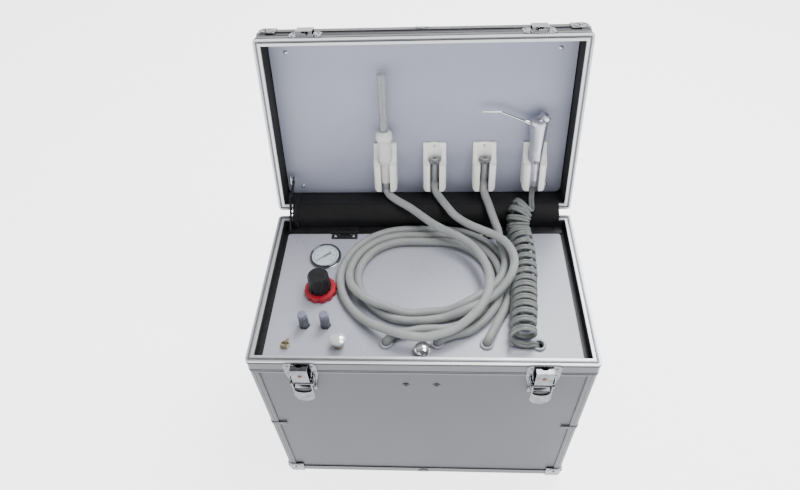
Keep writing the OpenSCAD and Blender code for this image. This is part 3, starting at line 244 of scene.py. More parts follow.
def lathe(profile, at=(0, 0, 0), axis=(0, 0, 1), steps=64):
    # profile of (radius, height) turned round an axis
    axis = Vector(axis).normalized()
    e1 = axis.orthogonal().normalized()
    e2 = axis.cross(e1)
    verts, rings = [], []
    for r, h in profile:
        base = Vector(at) + axis*h
        if r < 1e-6:
            rings.append([len(verts)])
            verts.append(base)
        else:
            rings.append(list(range(len(verts), len(verts) + steps)))
            for k in range(steps):
                a = 2*math.pi*k/steps
                verts.append(base + e1*(r*math.cos(a)) + e2*(r*math.sin(a)))
    faces = []
    for low, high in zip(rings, rings[1:]):
        for k in range(steps):
            l = (k + 1) % steps
            if len(low) == 1 and len(high) > 1:
                faces.append((low[0], high[l], high[k]))
            elif len(high) == 1 and len(low) > 1:
                faces.append((low[k], low[l], high[0]))
            elif len(low) > 1:
                faces.append((low[k], low[l], high[l], high[k]))
    if len(rings[0]) > 1:
        faces.append(tuple(rings[0][::-1]))
    if len(rings[-1]) > 1:
        faces.append(tuple(rings[-1]))
    return np.array([list(v) for v in verts]), faces


def openLid(p):
    # a point drawn on the shut lid, where it stands open
    a, pinY, pinZ = math.radians(lidHinge["open"]), lidHinge["y"], lidHinge["z"]
    dy, dz = p[1] - pinY, p[2] - pinZ
    return (p[0], pinY + dy*math.cos(a) + dz*math.sin(a), pinZ - dy*math.sin(a) + dz*math.cos(a))


def inHolder(i, a, b, c):
    # a across, b deeper into the lid, c up from the foot of holder i
    x = holderRow["first"] + holderRow["apart"]*i + a
    return openLid((x, holderRow["foot"] - c, holderRow["face"] + b))


# materials
def makeFinish(name, look, relief=None, mask=None):
    # look: two hex tones, size of their patches, grain, bump depth and rounded edge in mm
    # relief and mask are functions that add the nodes of a pattern
    material = bpy.data.materials.new(name)
    material.use_nodes = True
    tree = material.node_tree
    tree.nodes.clear()
    place = addNode(tree, "ShaderNodeTexCoord").outputs["Object"]
    broad = addNode(tree, "ShaderNodeTexNoise", {
        "Vector": place, "Scale": 1000/look.get("toneSize", 40), "Detail": 4.0,
        "Roughness": 0.6}).outputs[0]
    fine = addNode(tree, "ShaderNodeTexNoise", {
        "Vector": place, "Scale": 1000/look.get("grain", 1.0), "Detail": 2.0,
        "Roughness": 0.5}).outputs[0]
    tone = addNode(tree, "ShaderNodeMapRange", {"Value": broad, "From Min": 0.34, "From Max": 0.66})
    dark, pale = (colour(t) for t in look["tones"])
    paint = addNode(tree, "ShaderNodeMix", {0: tone.outputs[0], 6: dark, 7: pale},
                    data_type="RGBA").outputs[2]
    if mask:
        paint = mask(tree, place, paint)
    rounded = look.get("edge", 0.3)*0.001
    soft = addNode(tree, "ShaderNodeBevel", {"Radius": rounded}, samples=4).outputs[0]
    if "wear" in look:
        # rubbed edges, where the rounded normal leaves the true one
        flat = addNode(tree, "ShaderNodeNewGeometry").outputs["Normal"]
        turn = addNode(tree, "ShaderNodeVectorMath", {0: soft, 1: flat}, operation="DOT_PRODUCT")
        worn = addNode(tree, "ShaderNodeMapRange", {
            "Value": turn.outputs["Value"], "From Min": 0.995, "From Max": 0.85})
        patchy = addNode(tree, "ShaderNodeMath", {0: worn.outputs[0], 1: fine}, operation="MULTIPLY")
        paint = addNode(tree, "ShaderNodeMix", {
            0: patchy.outputs[0], 6: paint, 7: colour(look["wear"])}, data_type="RGBA").outputs[2]
    low, high = look["rough"]
    gloss = addNode(tree, "ShaderNodeMapRange", {
        "Value": broad, "From Min": 0.3, "From Max": 0.7, "To Min": low, "To Max": high}).outputs[0]
    normal = addNode(tree, "ShaderNodeBump", {
        "Height": fine, "Strength": 1.0, "Distance": look.get("depth", 0.01)*0.001,
        "Normal": soft}).outputs[0]
    if relief:
        height, depth = relief(tree, place)
        normal = addNode(tree, "ShaderNodeBump", {
            "Height": height, "Strength": 1.0, "Distance": depth*0.001, "Normal": normal}).outputs[0]
    shader = addNode(tree, "ShaderNodeBsdfPrincipled", {
        "Base Color": paint, "Roughness": gloss, "Normal": normal, "Metallic": look.get("metal", 0.0)})
    for socket, value in look.get("sockets", {}).items():
        shader.inputs[socket].default_value = value
    addNode(tree, "ShaderNodeOutputMaterial", {"Surface": shader.outputs[0]})
    material.diffuse_color = dark
    return material


def dress(material, *names):
    for name in names:
        for slot in cad[name].material_slots:
            slot.link = "OBJECT"
            slot.material = material


def ripple(tree, value, spacing):
    # up and down once in each spacing, in mm
    turned = addNode(tree, "ShaderNodeMath", {0: value, 1: 2000*math.pi/spacing}, operation="MULTIPLY")
    return addNode(tree, "ShaderNodeMath", {0: turned.outputs[0]}, operation="SINE").outputs[0]


def linesAlong(axisName, spacing, depth):
    # fine drawn lines, evenly spaced across one axis
    def relief(tree, place):
        apart = addNode(tree, "ShaderNodeSeparateXYZ", {"Vector": place})
        return ripple(tree, apart.outputs[axisName], spacing), depth
    return relief


# anodised aluminium laminated to board: satin, a very fine orange peel, nearly even mid grey
boardFace = makeFinish("anodisedAluminiumBoard", {
    "tones": ("#46474d", "#4b4c52"), "toneSize": 90, "grain": 1.6, "depth": 0.012,
    "rough": (0.42, 0.50), "metal": 0.45, "edge": 0.3, "sockets": {"Specular IOR Level": 0.25}})


dieLines = {"spacing": 1.6, "depth": 0.03, "uprightFrom": 16.5}


def sectionLines(tree, place):
    # the drawing die's lines, coarse enough to show: level on the rims, upright on the corners
    x, y, z = addNode(tree, "ShaderNodeSeparateXYZ", {"Vector": place}).outputs
    both = addNode(tree, "ShaderNodeMath", {0: x, 1: y}, operation="ADD").outputs[0]
    upright = ripple(tree, both, dieLines["spacing"])
    level = ripple(tree, z, dieLines["spacing"])
    above = addNode(tree, "ShaderNodeMath", {0: z, 1: dieLines["uprightFrom"]*0.001},
                    operation="GREATER_THAN").outputs[0]
    lines = addNode(tree, "ShaderNodeMix", {0: above, 2: level, 3: upright}, data_type="FLOAT")
    return lines.outputs[0], dieLines["depth"]


# extruded anodised aluminium sections: brighter satin metal with lines along their length
edgeSection = makeFinish("extrudedAluminiumSection", {
    "tones": ("#4f5053", "#57585b"), "toneSize": 60, "grain": 0.6, "depth": 0.006,
    "rough": (0.36, 0.45), "metal": 0.5, "edge": 0.5, "wear": "#b9babc",
    "sockets": {"Specular IOR Level": 0.25}}, relief=sectionLines)


# colours of the rims' painted highlight band and of the painted shade line at its groove
lip = {"deep": 2.2, "grooveAt": 4.2, "grooveHalf": 1.3, "paintedHighlight": "#c9cbce", "groove": "#6b6d72"}


def paintedHighlightLip(onLid):
    # painted highlight near the plane where lid and base meet, with a darker line of painted shade for
    # the groove in it
    def mask(tree, place, paint):
        level, test = lidHinge["z"] - lip["deep"], "GREATER_THAN"
        if onLid:
            # a point of the open lid, turned back to where it is on the shut one
            level, test = lidHinge["z"] + lip["deep"], "LESS_THAN"
            place = addNode(tree, "ShaderNodeVectorRotate", {
                "Vector": place, "Center": (0, lidHinge["y"]*0.001, lidHinge["z"]*0.001),
                "Angle": math.radians(lidHinge["open"])}, rotation_type="X_AXIS").outputs[0]
        x, y, z = addNode(tree, "ShaderNodeSeparateXYZ", {"Vector": place}).outputs
        near = addNode(tree, "ShaderNodeMath", {0: z, 1: level*0.001}, operation=test).outputs[0]
        # how far in from the nearest outside face
        inset = 1.0
        for value, half in ((x, caseSize["halfWide"]), (y, caseSize["halfDeep"])):
            out = addNode(tree, "ShaderNodeMath", {0: value}, operation="ABSOLUTE").outputs[0]
            away = addNode(tree, "ShaderNodeMath", {0: half*0.001, 1: out}, operation="SUBTRACT")
            inset = addNode(tree, "ShaderNodeMath", {0: inset, 1: away.outputs[0]},
                            operation="MINIMUM").outputs[0]
        groove = addNode(tree, "ShaderNodeMath", {
            0: inset, 1: lip["grooveAt"]*0.001, 2: lip["grooveHalf"]*0.001},
            operation="COMPARE").outputs[0]
        tone = addNode(tree, "ShaderNodeMix", {
            0: groove, 6: colour(lip["paintedHighlight"]), 7: colour(lip["groove"])},
            data_type="RGBA").outputs[2]
        return addNode(tree, "ShaderNodeMix", {0: near, 6: paint, 7: tone}, data_type="RGBA").outputs[2]
    return mask


# the rims: as the sections, but polished a little by the lid, with lines 1.7 mm apart
rimLook = {"tones": ("#4e5054", "#56585c"), "toneSize": 70, "grain": 0.5, "depth": 0.005,
           "rough": (0.32, 0.40), "metal": 0.5, "edge": 0.5, "wear": "#dcddde",
           "sockets": {"Specular IOR Level": 0.25}}
rimLines = linesAlong("Z", 1.7, 0.012)
baseRimSection = makeFinish("extrudedAluminiumBaseRim", rimLook, rimLines, paintedHighlightLip(False))
lidRimSection = makeFinish("extrudedAluminiumLidRim", rimLook, rimLines, paintedHighlightLip(True))
# pressed steel with a nickel plate: corner caps and clips, duller than the latches
pressedCap = makeFinish("nickelPlatedPressing", {
    "tones": ("#7a7c7f", "#86888b"), "toneSize": 12, "grain": 0.5, "depth": 0.006,
    "rough": (0.28, 0.36), "metal": 0.9, "edge": 0.6, "wear": "#e6e6e6"})
# bright plated latch parts: near mirror with soft dents from pressing
latchPlate = makeFinish("brightNickelLatch", {
    "tones": ("#55575b", "#6e7074"), "toneSize": 8, "grain": 3.0, "depth": 0.03,
    "rough": (0.12, 0.2), "metal": 0.95, "edge": 0.4, "wear": "#f4f4f4"})
# the same plate on the small joint clips, darkened by handling
clipSteel = makeFinish("agedPlatedClip", {
    "tones": ("#3f4042", "#4a4b4d"), "toneSize": 6, "grain": 0.5, "depth": 0.01,
    "rough": (0.35, 0.45), "metal": 0.9, "edge": 0.3})
# powder coat on steel sheet: pale lilac grey, satin, with a 1.5 mm orange peel
deckPaint = makeFinish("powderCoatedSheet", {
    "tones": ("#acadba", "#b2b3c0"), "toneSize": 120, "grain": 1.5, "depth": 0.018,
    "rough": (0.26, 0.34), "edge": 0.5, "sockets": {"Coat Weight": 0.1, "Coat Roughness": 0.3}})
# the same paint inside the lid, less glossy, drawn darker and bluer than the deck's as painted shade
lidPaint = makeFinish("powderCoatLidPanelPaintedShade", {
    "tones": ("#9195a8", "#979bae"), "toneSize": 120, "grain": 1.5, "depth": 0.018,
    "rough": (0.36, 0.44), "edge": 0.5, "sockets": {"Coat Weight": 0.1, "Coat Roughness": 0.3}})
# closed-cell EVA foam: near black, matt, skin broken by 0.8 mm cells
foamLining = makeFinish("blackEvaFoam", {
    "tones": ("#141416", "#1c1c1f"), "toneSize": 15, "grain": 0.8, "depth": 0.12,
    "rough": (0.8, 0.92), "edge": 0.5})


def weave(tree, place):
    # plain weave, drawn at 1.1 mm a thread so that it shows
    x, y, z = addNode(tree, "ShaderNodeSeparateXYZ", {"Vector": place}).outputs
    around = addNode(tree, "ShaderNodeMath", {0: y, 1: z}, operation="SUBTRACT").outputs[0]
    warp, weft = ripple(tree, x, 1.1), ripple(tree, around, 1.1)
    return addNode(tree, "ShaderNodeMath", {0: warp, 1: weft}, operation="MULTIPLY").outputs[0], 0.05


# coated black cloth of the hinge flap: soft sheen on the bulge, fine weave
flapCloth = makeFinish("coatedBlackCloth", {
    "tones": ("#121214", "#19191b"), "toneSize": 30, "grain": 0.7, "depth": 0.03,
    "rough": (0.58, 0.68), "edge": 0.2,
    "sockets": {"Sheen Weight": 0.04, "Sheen Roughness": 0.45, "Specular IOR Level": 0.22}},
    relief=weave)
# silicone hose: warm light grey, matt with a soft wide highlight, faint handling marks
hoseSilicone = makeFinish("extrudedSiliconeHose", {
    "tones": ("#8f9292", "#9b9e9d"), "toneSize": 25, "grain": 0.8, "depth": 0.02,
    "rough": (0.46, 0.58), "edge": 0.05,
    "sockets": {"Subsurface Weight": 0.08, "Subsurface Scale": 0.002, "Sheen Weight": 0.12}})
# polyurethane twin tube: slightly greener and glossier than the hoses
twinTube = makeFinish("polyurethaneTwinTube", {
    "tones": ("#6f7372", "#7d8180"), "toneSize": 12, "grain": 0.8, "depth": 0.01,
    "rough": (0.30, 0.40), "edge": 0.05,
    "sockets": {"Subsurface Weight": 0.1, "Subsurface Scale": 0.002}})
# moulded ABS, off-white: satin with a faint spark texture
holderAbs = makeFinish("offWhiteMouldedAbs", {
    "tones": ("#f2f1ed", "#f7f6f3"), "toneSize": 30, "grain": 0.5, "depth": 0.01,
    "rough": (0.30, 0.38), "edge": 0.8,
    "sockets": {"Subsurface Weight": 0.05, "Subsurface Scale": 0.003}})
# the suction handle's ABS: greyer and smoother than the holders
handleAbs = makeFinish("whiteMouldedHandle", {
    "tones": ("#d0cdcc", "#d8d5d4"), "toneSize": 20, "grain": 0.5, "depth": 0.008,
    "rough": (0.28, 0.36), "edge": 0.5,
    "sockets": {"Subsurface Weight": 0.05, "Subsurface Scale": 0.003}})
# clear acrylic suction tip: thin, a little frosted by use
clearTip = makeFinish("clearAcrylicTip", {
    "tones": ("#9b9ea2", "#abaeb1"), "toneSize": 10, "grain": 1.0, "depth": 0.01,
    "rough": (0.08, 0.2), "edge": 0.2, "sockets": {"Alpha": 0.42, "IOR": 1.49}})
# polished chrome on brass: mirror, tiny swirls
chrome = makeFinish("polishedChrome", {
    "tones": ("#dfe1e3", "#e8e9ea"), "toneSize": 10, "grain": 2.0, "depth": 0.004,
    "rough": (0.05, 0.11), "metal": 1.0, "edge": 0.4})
# satin nickel of the syringe: pale with a soft lilac cast
satinNickel = makeFinish("satinNickelSyringe", {
    "tones": ("#adadba", "#babac6"), "toneSize": 12, "grain": 0.8, "depth": 0.006,
    "rough": (0.26, 0.34), "metal": 0.8, "edge": 0.5, "wear": "#e6e6ee"})
# satin grey anodised couplings
couplingMetal = makeFinish("satinGreyCoupling", {
    "tones": ("#8b8e92", "#9a9da1"), "toneSize": 8, "grain": 0.5, "depth": 0.006,
    "rough": (0.28, 0.38), "metal": 0.85, "edge": 0.4, "wear": "#c8cacc"})


# middle and half size of the part of the deck that holds the two flow valves
nutArea = {"x": (-134.5, 24), "y": (-61, 12), "tone": "#3c3d40"}


def darkNuts(tree, place, paint):
    # the nuts under the two flow knobs are blackened
    x, y, z = addNode(tree, "ShaderNodeSeparateXYZ", {"Vector": place}).outputs
    inside = []
    for value, (middle, half) in ((x, nutArea["x"]), (y, nutArea["y"])):
        inside.append(addNode(tree, "ShaderNodeMath", {0: value, 1: middle*0.001, 2: half*0.001},
                              operation="COMPARE").outputs[0])
    both = addNode(tree, "ShaderNodeMath", {0: inside[0], 1: inside[1]},
                   operation="MULTIPLY").outputs[0]
    return addNode(tree, "ShaderNodeMix", {0: both, 6: paint, 7: colour(nutArea["tone"])},
                   data_type="RGBA").outputs[2]


# turned brass, dulled with age
brass = makeFinish("turnedBrass", {
    "tones": ("#aba389", "#bab299"), "toneSize": 5, "grain": 0.5, "depth": 0.006,
    "rough": (0.32, 0.42), "metal": 0.7, "edge": 0.3, "wear": "#e0d9bd"}, mask=darkNuts)
# moulded black ABS: regulator knob, inlet, rocker
blackAbs = makeFinish("blackMouldedAbs", {
    "tones": ("#18181a", "#212124"), "toneSize": 12, "grain": 0.6, "depth": 0.015,
    "rough": (0.34, 0.45), "edge": 0.7, "wear": "#3c3c40", "sockets": {"Specular IOR Level": 0.25}})
# red moulded nylon ring nut
redNylon = makeFinish("redMouldedNylon", {
    "tones": ("#a01228", "#ad172e"), "toneSize": 15, "grain": 0.6, "depth": 0.012,
    "rough": (0.30, 0.40), "edge": 0.7, "wear": "#e2503f",
    "sockets": {"Subsurface Weight": 0.04, "Subsurface Scale": 0.002}})
# black e-coat on the steel stay and hinges
blackSteel = makeFinish("electrocoatedSteel", {
    "tones": ("#1b1b1e", "#252528"), "toneSize": 10, "grain": 0.5, "depth": 0.01,
    "rough": (0.36, 0.46), "metal": 0.3, "edge": 0.3, "wear": "#56565a"})
# moulded rubber of feet and handle grip: black, matt, fine grained
rubber = makeFinish("mouldedBlackRubber", {
    "tones": ("#19191b", "#222224"), "toneSize": 10, "grain": 0.6, "depth": 0.03,
    "rough": (0.6, 0.72), "edge": 0.5})
# grommets moulded in the deck's own grey, so that they hardly show
greyRubber = makeFinish("mouldedGreyRubber", {
    "tones": ("#a9aab2", "#b1b2ba"), "toneSize": 8, "grain": 0.6, "depth": 0.02,
    "rough": (0.5, 0.6), "edge": 0.6})
# bright nickel on small screw heads
nickelScrew = makeFinish("nickelPlatedScrew", {
    "tones": ("#b9bac2", "#c6c7cf"), "toneSize": 3, "grain": 0.5, "depth": 0.006,
    "rough": (0.2, 0.3), "metal": 0.8, "edge": 0.3, "wear": "#ffffff"})
# die-cast aluminium of the compressor: matt and slightly rough from the mould
castMotor = makeFinish("castAluminiumMotor", {
    "tones": ("#84878b", "#929599"), "toneSize": 10, "grain": 0.9, "depth": 0.06,
    "rough": (0.45, 0.6), "metal": 0.8, "edge": 0.8})
# sprayed grey enamel on the air tank
tankEnamel = makeFinish("greyTankEnamel", {
    "tones": ("#55595f", "#61656b"), "toneSize": 40, "grain": 1.5, "depth": 0.02,
    "rough": (0.28, 0.36), "edge": 0.5})
# blown HDPE bottles: milky, waxy, a little translucent
bottleHdpe = makeFinish("milkyHdpeBottle", {
    "tones": ("#dfe5e7", "#e9edef"), "toneSize": 30, "grain": 1.0, "depth": 0.02,
    "rough": (0.35, 0.45), "edge": 0.8,
    "sockets": {"Subsurface Weight": 0.2, "Subsurface Scale": 0.01}})
# printed dial: white enamel with a faint blue cast
dialWhite = makeFinish("printedDialFace", {
    "tones": ("#d6e2ea", "#dfe9ef"), "toneSize": 20, "grain": 0.8, "depth": 0.002,
    "rough": (0.4, 0.5), "edge": 0.1})
# the dial's printed ink and its painted needle
dialInk = makeFinish("blackDialInk", {
    "tones": ("#1b1c22", "#25262c"), "toneSize": 3, "grain": 0.5, "depth": 0.001,
    "rough": (0.5, 0.6), "edge": 0.05})
# the gauge's flat glass, nearly clear
lensGlass = makeFinish("flatGaugeGlass", {
    "tones": ("#dfe8ee", "#e4ecf1"), "toneSize": 20, "grain": 2.0, "depth": 0.0,
    "rough": (0.02, 0.05), "edge": 0.2, "sockets": {"Alpha": 0.16, "IOR": 1.52}})
# turned buttons of the syringe, nickel plated
buttonNickel = makeFinish("turnedNickelButton", {
    "tones": ("#9c9ca6", "#a8a8b2"), "toneSize": 3, "grain": 0.5, "depth": 0.006,
    "rough": (0.2, 0.3), "metal": 0.9, "edge": 0.3})
# copper darkened with age: the latches' rivets and the wire in the suction tip
agedCopper = makeFinish("agedCopperRivet", {
    "tones": ("#5f443a", "#6d4f43"), "toneSize": 2, "grain": 0.4, "depth": 0.01,
    "rough": (0.35, 0.45), "metal": 0.8, "edge": 0.3, "wear": "#a98a7c"})


def bandAbove(level, hexText):
    # above a level of the deck the piece has another colour
    def mask(tree, place, paint):
        apart = addNode(tree, "ShaderNodeSeparateXYZ", {"Vector": place})
        above = addNode(tree, "ShaderNodeMath", {0: apart.outputs["Z"], 1: level*0.001},
                        operation="GREATER_THAN").outputs[0]
        return addNode(tree, "ShaderNodeMix", {0: above, 6: paint, 7: colour(hexText)},
                       data_type="RGBA").outputs[2]
    return mask


# gauge: chrome bezel painted darker above the paler turned flange, a painted dark reflection
gaugeChrome = makeFinish("chromeBezelPaintedDarkReflection", {
    "tones": ("#a4a7ab", "#b2b5b8"), "toneSize": 15, "grain": 0.6, "depth": 0.004,
    "rough": (0.14, 0.22), "metal": 1.0, "edge": 0.4}, mask=bandAbove(313.4, "#5a5d62"))
# knurled grey flow knobs with a smooth lilac cap
flowKnob = makeFinish("knurledGreyKnob", {
    "tones": ("#66686e", "#777980"), "toneSize": 4, "grain": 0.5, "depth": 0.01,
    "rough": (0.34, 0.45), "metal": 0.35, "edge": 0.25, "wear": "#a8aab2"},
    relief=linesAlong("X", 1.5, 0.3), mask=bandAbove(331.4, "#84859a"))
# push valve: white enamelled cap on a brass stem
pushValve = makeFinish("enamelledPushCap", {
    "tones": ("#b59a5e", "#c4aa6c"), "toneSize": 4, "grain": 0.5, "depth": 0.004,
    "rough": (0.12, 0.2), "metal": 0.45, "edge": 0.5}, mask=bandAbove(323.2, "#e8e9eb"))

dress(boardFace, "base_panels", "lid_panels")
dress(edgeSection, "base_frame", "lid_frame")
dress(baseRimSection, "base_rim")
dress(lidRimSection, "lid_rim")
dress(pressedCap, "base_corner_caps", "lid_corner_caps", "handle_brackets")
dress(clipSteel, "base_trim")
dress(foamLining, "base_lining", "lid_lining")
dress(latchPlate, "latch_plates", "latch_strikes", "latch_lever_left", "latch_lever_right",
      "latch_claw_left", "latch_claw_right")
dress(deckPaint, "deck_panel")
dress(lidPaint, "lid_inner_panel")
dress(blackSteel, "base_hinge_leaf", "lid_hinge_leaf", "deck_rails", "deck_hinges", "stay_lower",
      "stay_upper")
dress(rubber, "rubber_feet", "carry_handle")
dress(greyRubber, "hose_grommets")
dress(blackAbs, "power_inlet", "rocker_switch", "regulator_knob")
dress(castMotor, "compressor")
dress(tankEnamel, "air_tank")
dress(bottleHdpe, "bottles")
dress(holderAbs, "instrument_holders")
dress(handleAbs, "ejector_handle")
dress(clearTip, "ejector_tip")
dress(couplingMetal, "handpiece_connectors")
dress(chrome, "syringe_nozzle", "pull_knob")
dress(satinNickel, "syringe_body")
dress(nickelScrew, "lid_panel_fixings")
dress(redNylon, "ring_nut")
dress(brass, "control_valves", "toggle_lever")
dress(pushValve, "purge_button")
dress(flowKnob, "flow_knob_left", "flow_knob_right")
dress(buttonNickel, "air_button", "water_button")
print("materials made and put on the frame")

# the three instrument hoses: from the holders, over the hinge, round the deck, down their holes
# ring stations are (degrees clockwise from the rear, inset from the coil's outside, height)
hoseSetup = {"radius": 5.5, "sides": 24, "step": 2.0, "passes": 6, "overHinge": 70.0,
             "centre": (4.5, 3.0), "flat": 20.0, "outside": 93.0}
hoseA = {
    "span": [(-53, 155, 350.2), (-53, 154.5, 348.2), (-51.8, 151.4, 345.3), (-48.8, 146.8, 344),
             (-44.5, 141, 344.6), (-41, 136, 345.8), (-36.5, 131, 346.9), (-18.5, 117.2, 346.4),
             (-1.5, 103, 343.9), (15, 89.5, 341.4), (31.5, 78.2, 340.4)],
    "ring": [(34, 23.5, 339.5), (49, 27.5, 338.5), (62, 30.6, 338.5), (74, 32, 339.5),
             (88, 31.4, 340.3), (102, 28.8, 340.6), (115, 25.2, 340.4), (128, 21.5, 338.5),
             (141, 17.5, 334.5), (155, 11.5, 330.5), (168, 5, 330.8), (181, 1.5, 329),
             (196, 3.5, 330.5), (210, 7.5, 329.5), (225, 10, 323.5), (238, 9.5, 319),
             (251, 6.5, 317.8), (264, 2, 317.8), (277, -2, 317.8), (290, -4.5, 317.8),
             (304, -6, 317.8), (318, -6.5, 317.8), (332, -6, 317.8), (346, -5, 317.8),
             (0, -4.5, 317.8), (14, -4.5, 317.8), (28, -4.5, 317.8), (41, -4.5, 317.8),
             (54, -4, 317.8), (66, -3, 317.8), (78, -1.5, 317.8), (90, 0.5, 317.8),
             (101, 2.5, 317.8), (112, 2.5, 317.9)],
    "tail": [(96, -55.5, 318.4), (87.5, -74, 320.5), (83.2, -82.5, 320.8), (80.8, -86.3, 316.5),
             (80, -87, 310), (80, -87, 302), (80, -87, 296)]}
hoseB = {
    "span": [(17, 156.9, 358), (17, 155.8, 353.6), (17.4, 152.8, 350.2), (18.6, 148.8, 347.8),
             (20.8, 143.5, 346.8), (24.5, 137, 346.8), (27, 131, 347.4), (34.5, 118.5, 346.5),
             (44, 103.8, 344.8), (61, 88.8, 343.2), (78, 78, 343.4)],
    "ring": [(54, -2.2, 344), (62, -5.6, 345), (70, -6.6, 345.2), (79, -5, 345), (87, -1, 343.3),
             (93, 4, 339.5), (100, 12, 333), (109, 21, 329.3), (120, 29, 328.9), (131, 34, 328),
             (143, 36.5, 324), (156, 37, 319), (170, 35, 317.9), (186, 33, 317.8), (202, 33, 317.8),
             (218, 33.2, 317.8), (233, 33, 317.8), (248, 31.5, 317.8), (262, 27.5, 317.8),
             (276, 22.6, 317.8), (290, 19, 317.8), (304, 17, 317.8), (318, 16.5, 317.8),
             (332, 17, 317.8), (346, 18, 317.8), (0, 18.5, 317.8), (14, 18.5, 317.8),
             (28, 18.8, 317.8), (41, 19.5, 317.8), (54, 20.5, 317.8), (67, 22, 317.8),
             (79, 24.5, 317.8), (91, 26.5, 317.8), (103, 27, 317.8), (116, 26.5, 317.8),
             (130, 25, 317.8), (145, 22.8, 317.8), (160, 21.3, 317.8), (175, 21, 317.8),
             (186, 20, 317.8), (195, 16.5, 317.8)],
    "tail": [(-31, -76, 318.5), (-38, -82.5, 320), (-42, -86.3, 316.5), (-43, -87, 310),
             (-43, -87, 303), (-43, -87, 296)]}
hoseC = {
    "span": [(87, 156.9, 358), (87, 155.8, 353.6), (87.2, 152.8, 350.2), (87.7, 148.8, 347.8),
             (88.6, 143.5, 346.8), (89.7, 137, 346.8), (91, 131, 347.4), (93.8, 118, 346.5),
             (97, 104, 344.2), (100.5, 90, 341.5), (104, 78, 338.6)],
    "ring": [(59, -8, 333.4), (66, -3.8, 330.5), (74, 1.5, 329), (82, 8.5, 329), (91, 17, 329),
             (100, 26, 329), (110, 35, 329), (121, 42, 328), (133, 46, 324), (145, 47.8, 319),
             (158, 48, 317.8), (172, 47, 317.8), (186, 45.5, 317.8), (200, 44.4, 318),
             (213, 43, 322), (226, 39.5, 328), (239, 33.5, 328.8), (251, 25, 328.5), (263, 17, 325),
             (275, 11.2, 319.5), (286, 7.5, 317.8), (299, 5.4, 317.8), (313, 4.8, 317.8),
             (327, 5.2, 317.8), (341, 6.2, 317.8), (355, 7, 317.8), (9, 7, 317.8), (23, 7, 317.8),
             (37, 7, 317.8), (50, 7.8, 317.8), (62, 9, 317.8), (74, 10.5, 317.8), (86, 12.5, 317.8),
             (98, 14.5, 317.8), (110, 14.5, 317.8), (122, 14, 317.8), (134, 12.2, 317.8),
             (146, 10.2, 317.8)],
    "tail": [(43, -76.5, 317.9), (31, -82, 319.5), (23.5, -85.8, 319.5), (20.6, -87, 315),
             (20, -87, 309), (20, -87, 303), (20, -87, 296)]}


def onRing(station):
    angle, inset, height = station
    r = hoseSetup["outside"] - inset
    a = math.radians(angle)
    dx, dy, flat = math.sin(a), math.cos(a), hoseSetup["flat"]
    reach = r/max(abs(dy), 1e-9)
    if abs(reach*dx) > flat:
        b = dx*math.copysign(flat, dx)
        reach = b + math.sqrt(b*b - flat*flat + r*r)
    return (reach*dx + hoseSetup["centre"][0], reach*dy + hoseSetup["centre"][1], height)


def layHose(name, hose, first):
    points = hose["span"] + [onRing(s) for s in hose["ring"]] + hose["tail"]
    line = evenPath(throughPoints(points), hoseSetup["step"], hoseSetup["passes"])
    section = roundSection(hoseSetup["radius"], hoseSetup["sides"])
    # the run over the case's hinge and the rest, which lies on the deck, are made as two pieces
    cut = int(hoseSetup["overHinge"]/hoseSetup["step"])
    for part, run, lay, solid in (("Span", line[:cut + 1], "loose", "hose_spans"),
                                  ("Coil", line[cut:], "coiled", "hose_coil")):
        v, f = sweep(run, section)
        piece = addPiece(name + part, v, f, hoseSilicone, sharp=60)
        if part == "Span":
            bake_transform(piece)
        else:
            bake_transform(piece)
        if first:
            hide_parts(solid)
        print(name, part.lower(), round(pathLength(run)), "mm")


layHose("suctionHose", hoseA, True)
layHose("handpieceHoseLeft", hoseB, False)
layHose("handpieceHoseRight", hoseC, False)

# curly twin tube of the syringe
curly = {
    # middle line of the coils, front to rear, and where along it each turn ends
    "axis": [(121.7, -92, 329.4), (123.4, -76, 329.4), (125.6, -58, 329.4), (128, -40, 329.4),
             (129.9, -22, 329.4), (131.6, -6, 329.4), (133.2, 10, 329.4), (134.7, 28, 329.4),
             (135.4, 48, 329.4), (134.8, 64, 329.4), (133.4, 80, 329.6), (132.6, 93, 331.2),
             (133.6, 103, 336.4), (136.4, 110.8, 342.6), (140.7, 117.0, 348.2)],
    "turns": [-90, -76.5, -63, -52, -41.5, -31, -21, -11, 0, 12, 25, 38, 50.5, 63.5, 76],
    # the rear turns end at these shares of what is left, and fan out towards the lead
    "rearTurns": (0.26, 0.50, 0.72, 0.90),
    "fanAt": (0.2, 0.5, 0.75, 0.95),
    "fan": [(0.02, 0.86, 0.5), (0.13, 0.74, 0.655), (0.465, 0.67, 0.577), (0.75, 0.51, 0.41)],
    # the turns are a little uneven: by how much, how often, from where
    "uneven": [(0.35, 2.3, 0), (0.25, 5.1, 1)],
    "radius": 15.0, "tube": 2.0, "perTurn": 40, "lastTurn": 0.8, "step": 2.3, "overHinge": 103.0,
    "toHole": [(124, -91, 314.6), (131, -90.2, 315.6), (137, -89.2, 316.4), (141.3, -88.4, 314.4),
               (142.6, -88, 309), (142.8, -88, 302), (142.8, -88, 297)],
    "lead": [(157, 155.6, 352.4), (157, 154.2, 348.6), (156.6, 151, 345.8), (155.8, 146, 344.8),
             (154.5, 140, 345.2), (153.4, 131, 345.8), (153.2, 122, 343.6), (152.9, 115, 340.4)]}


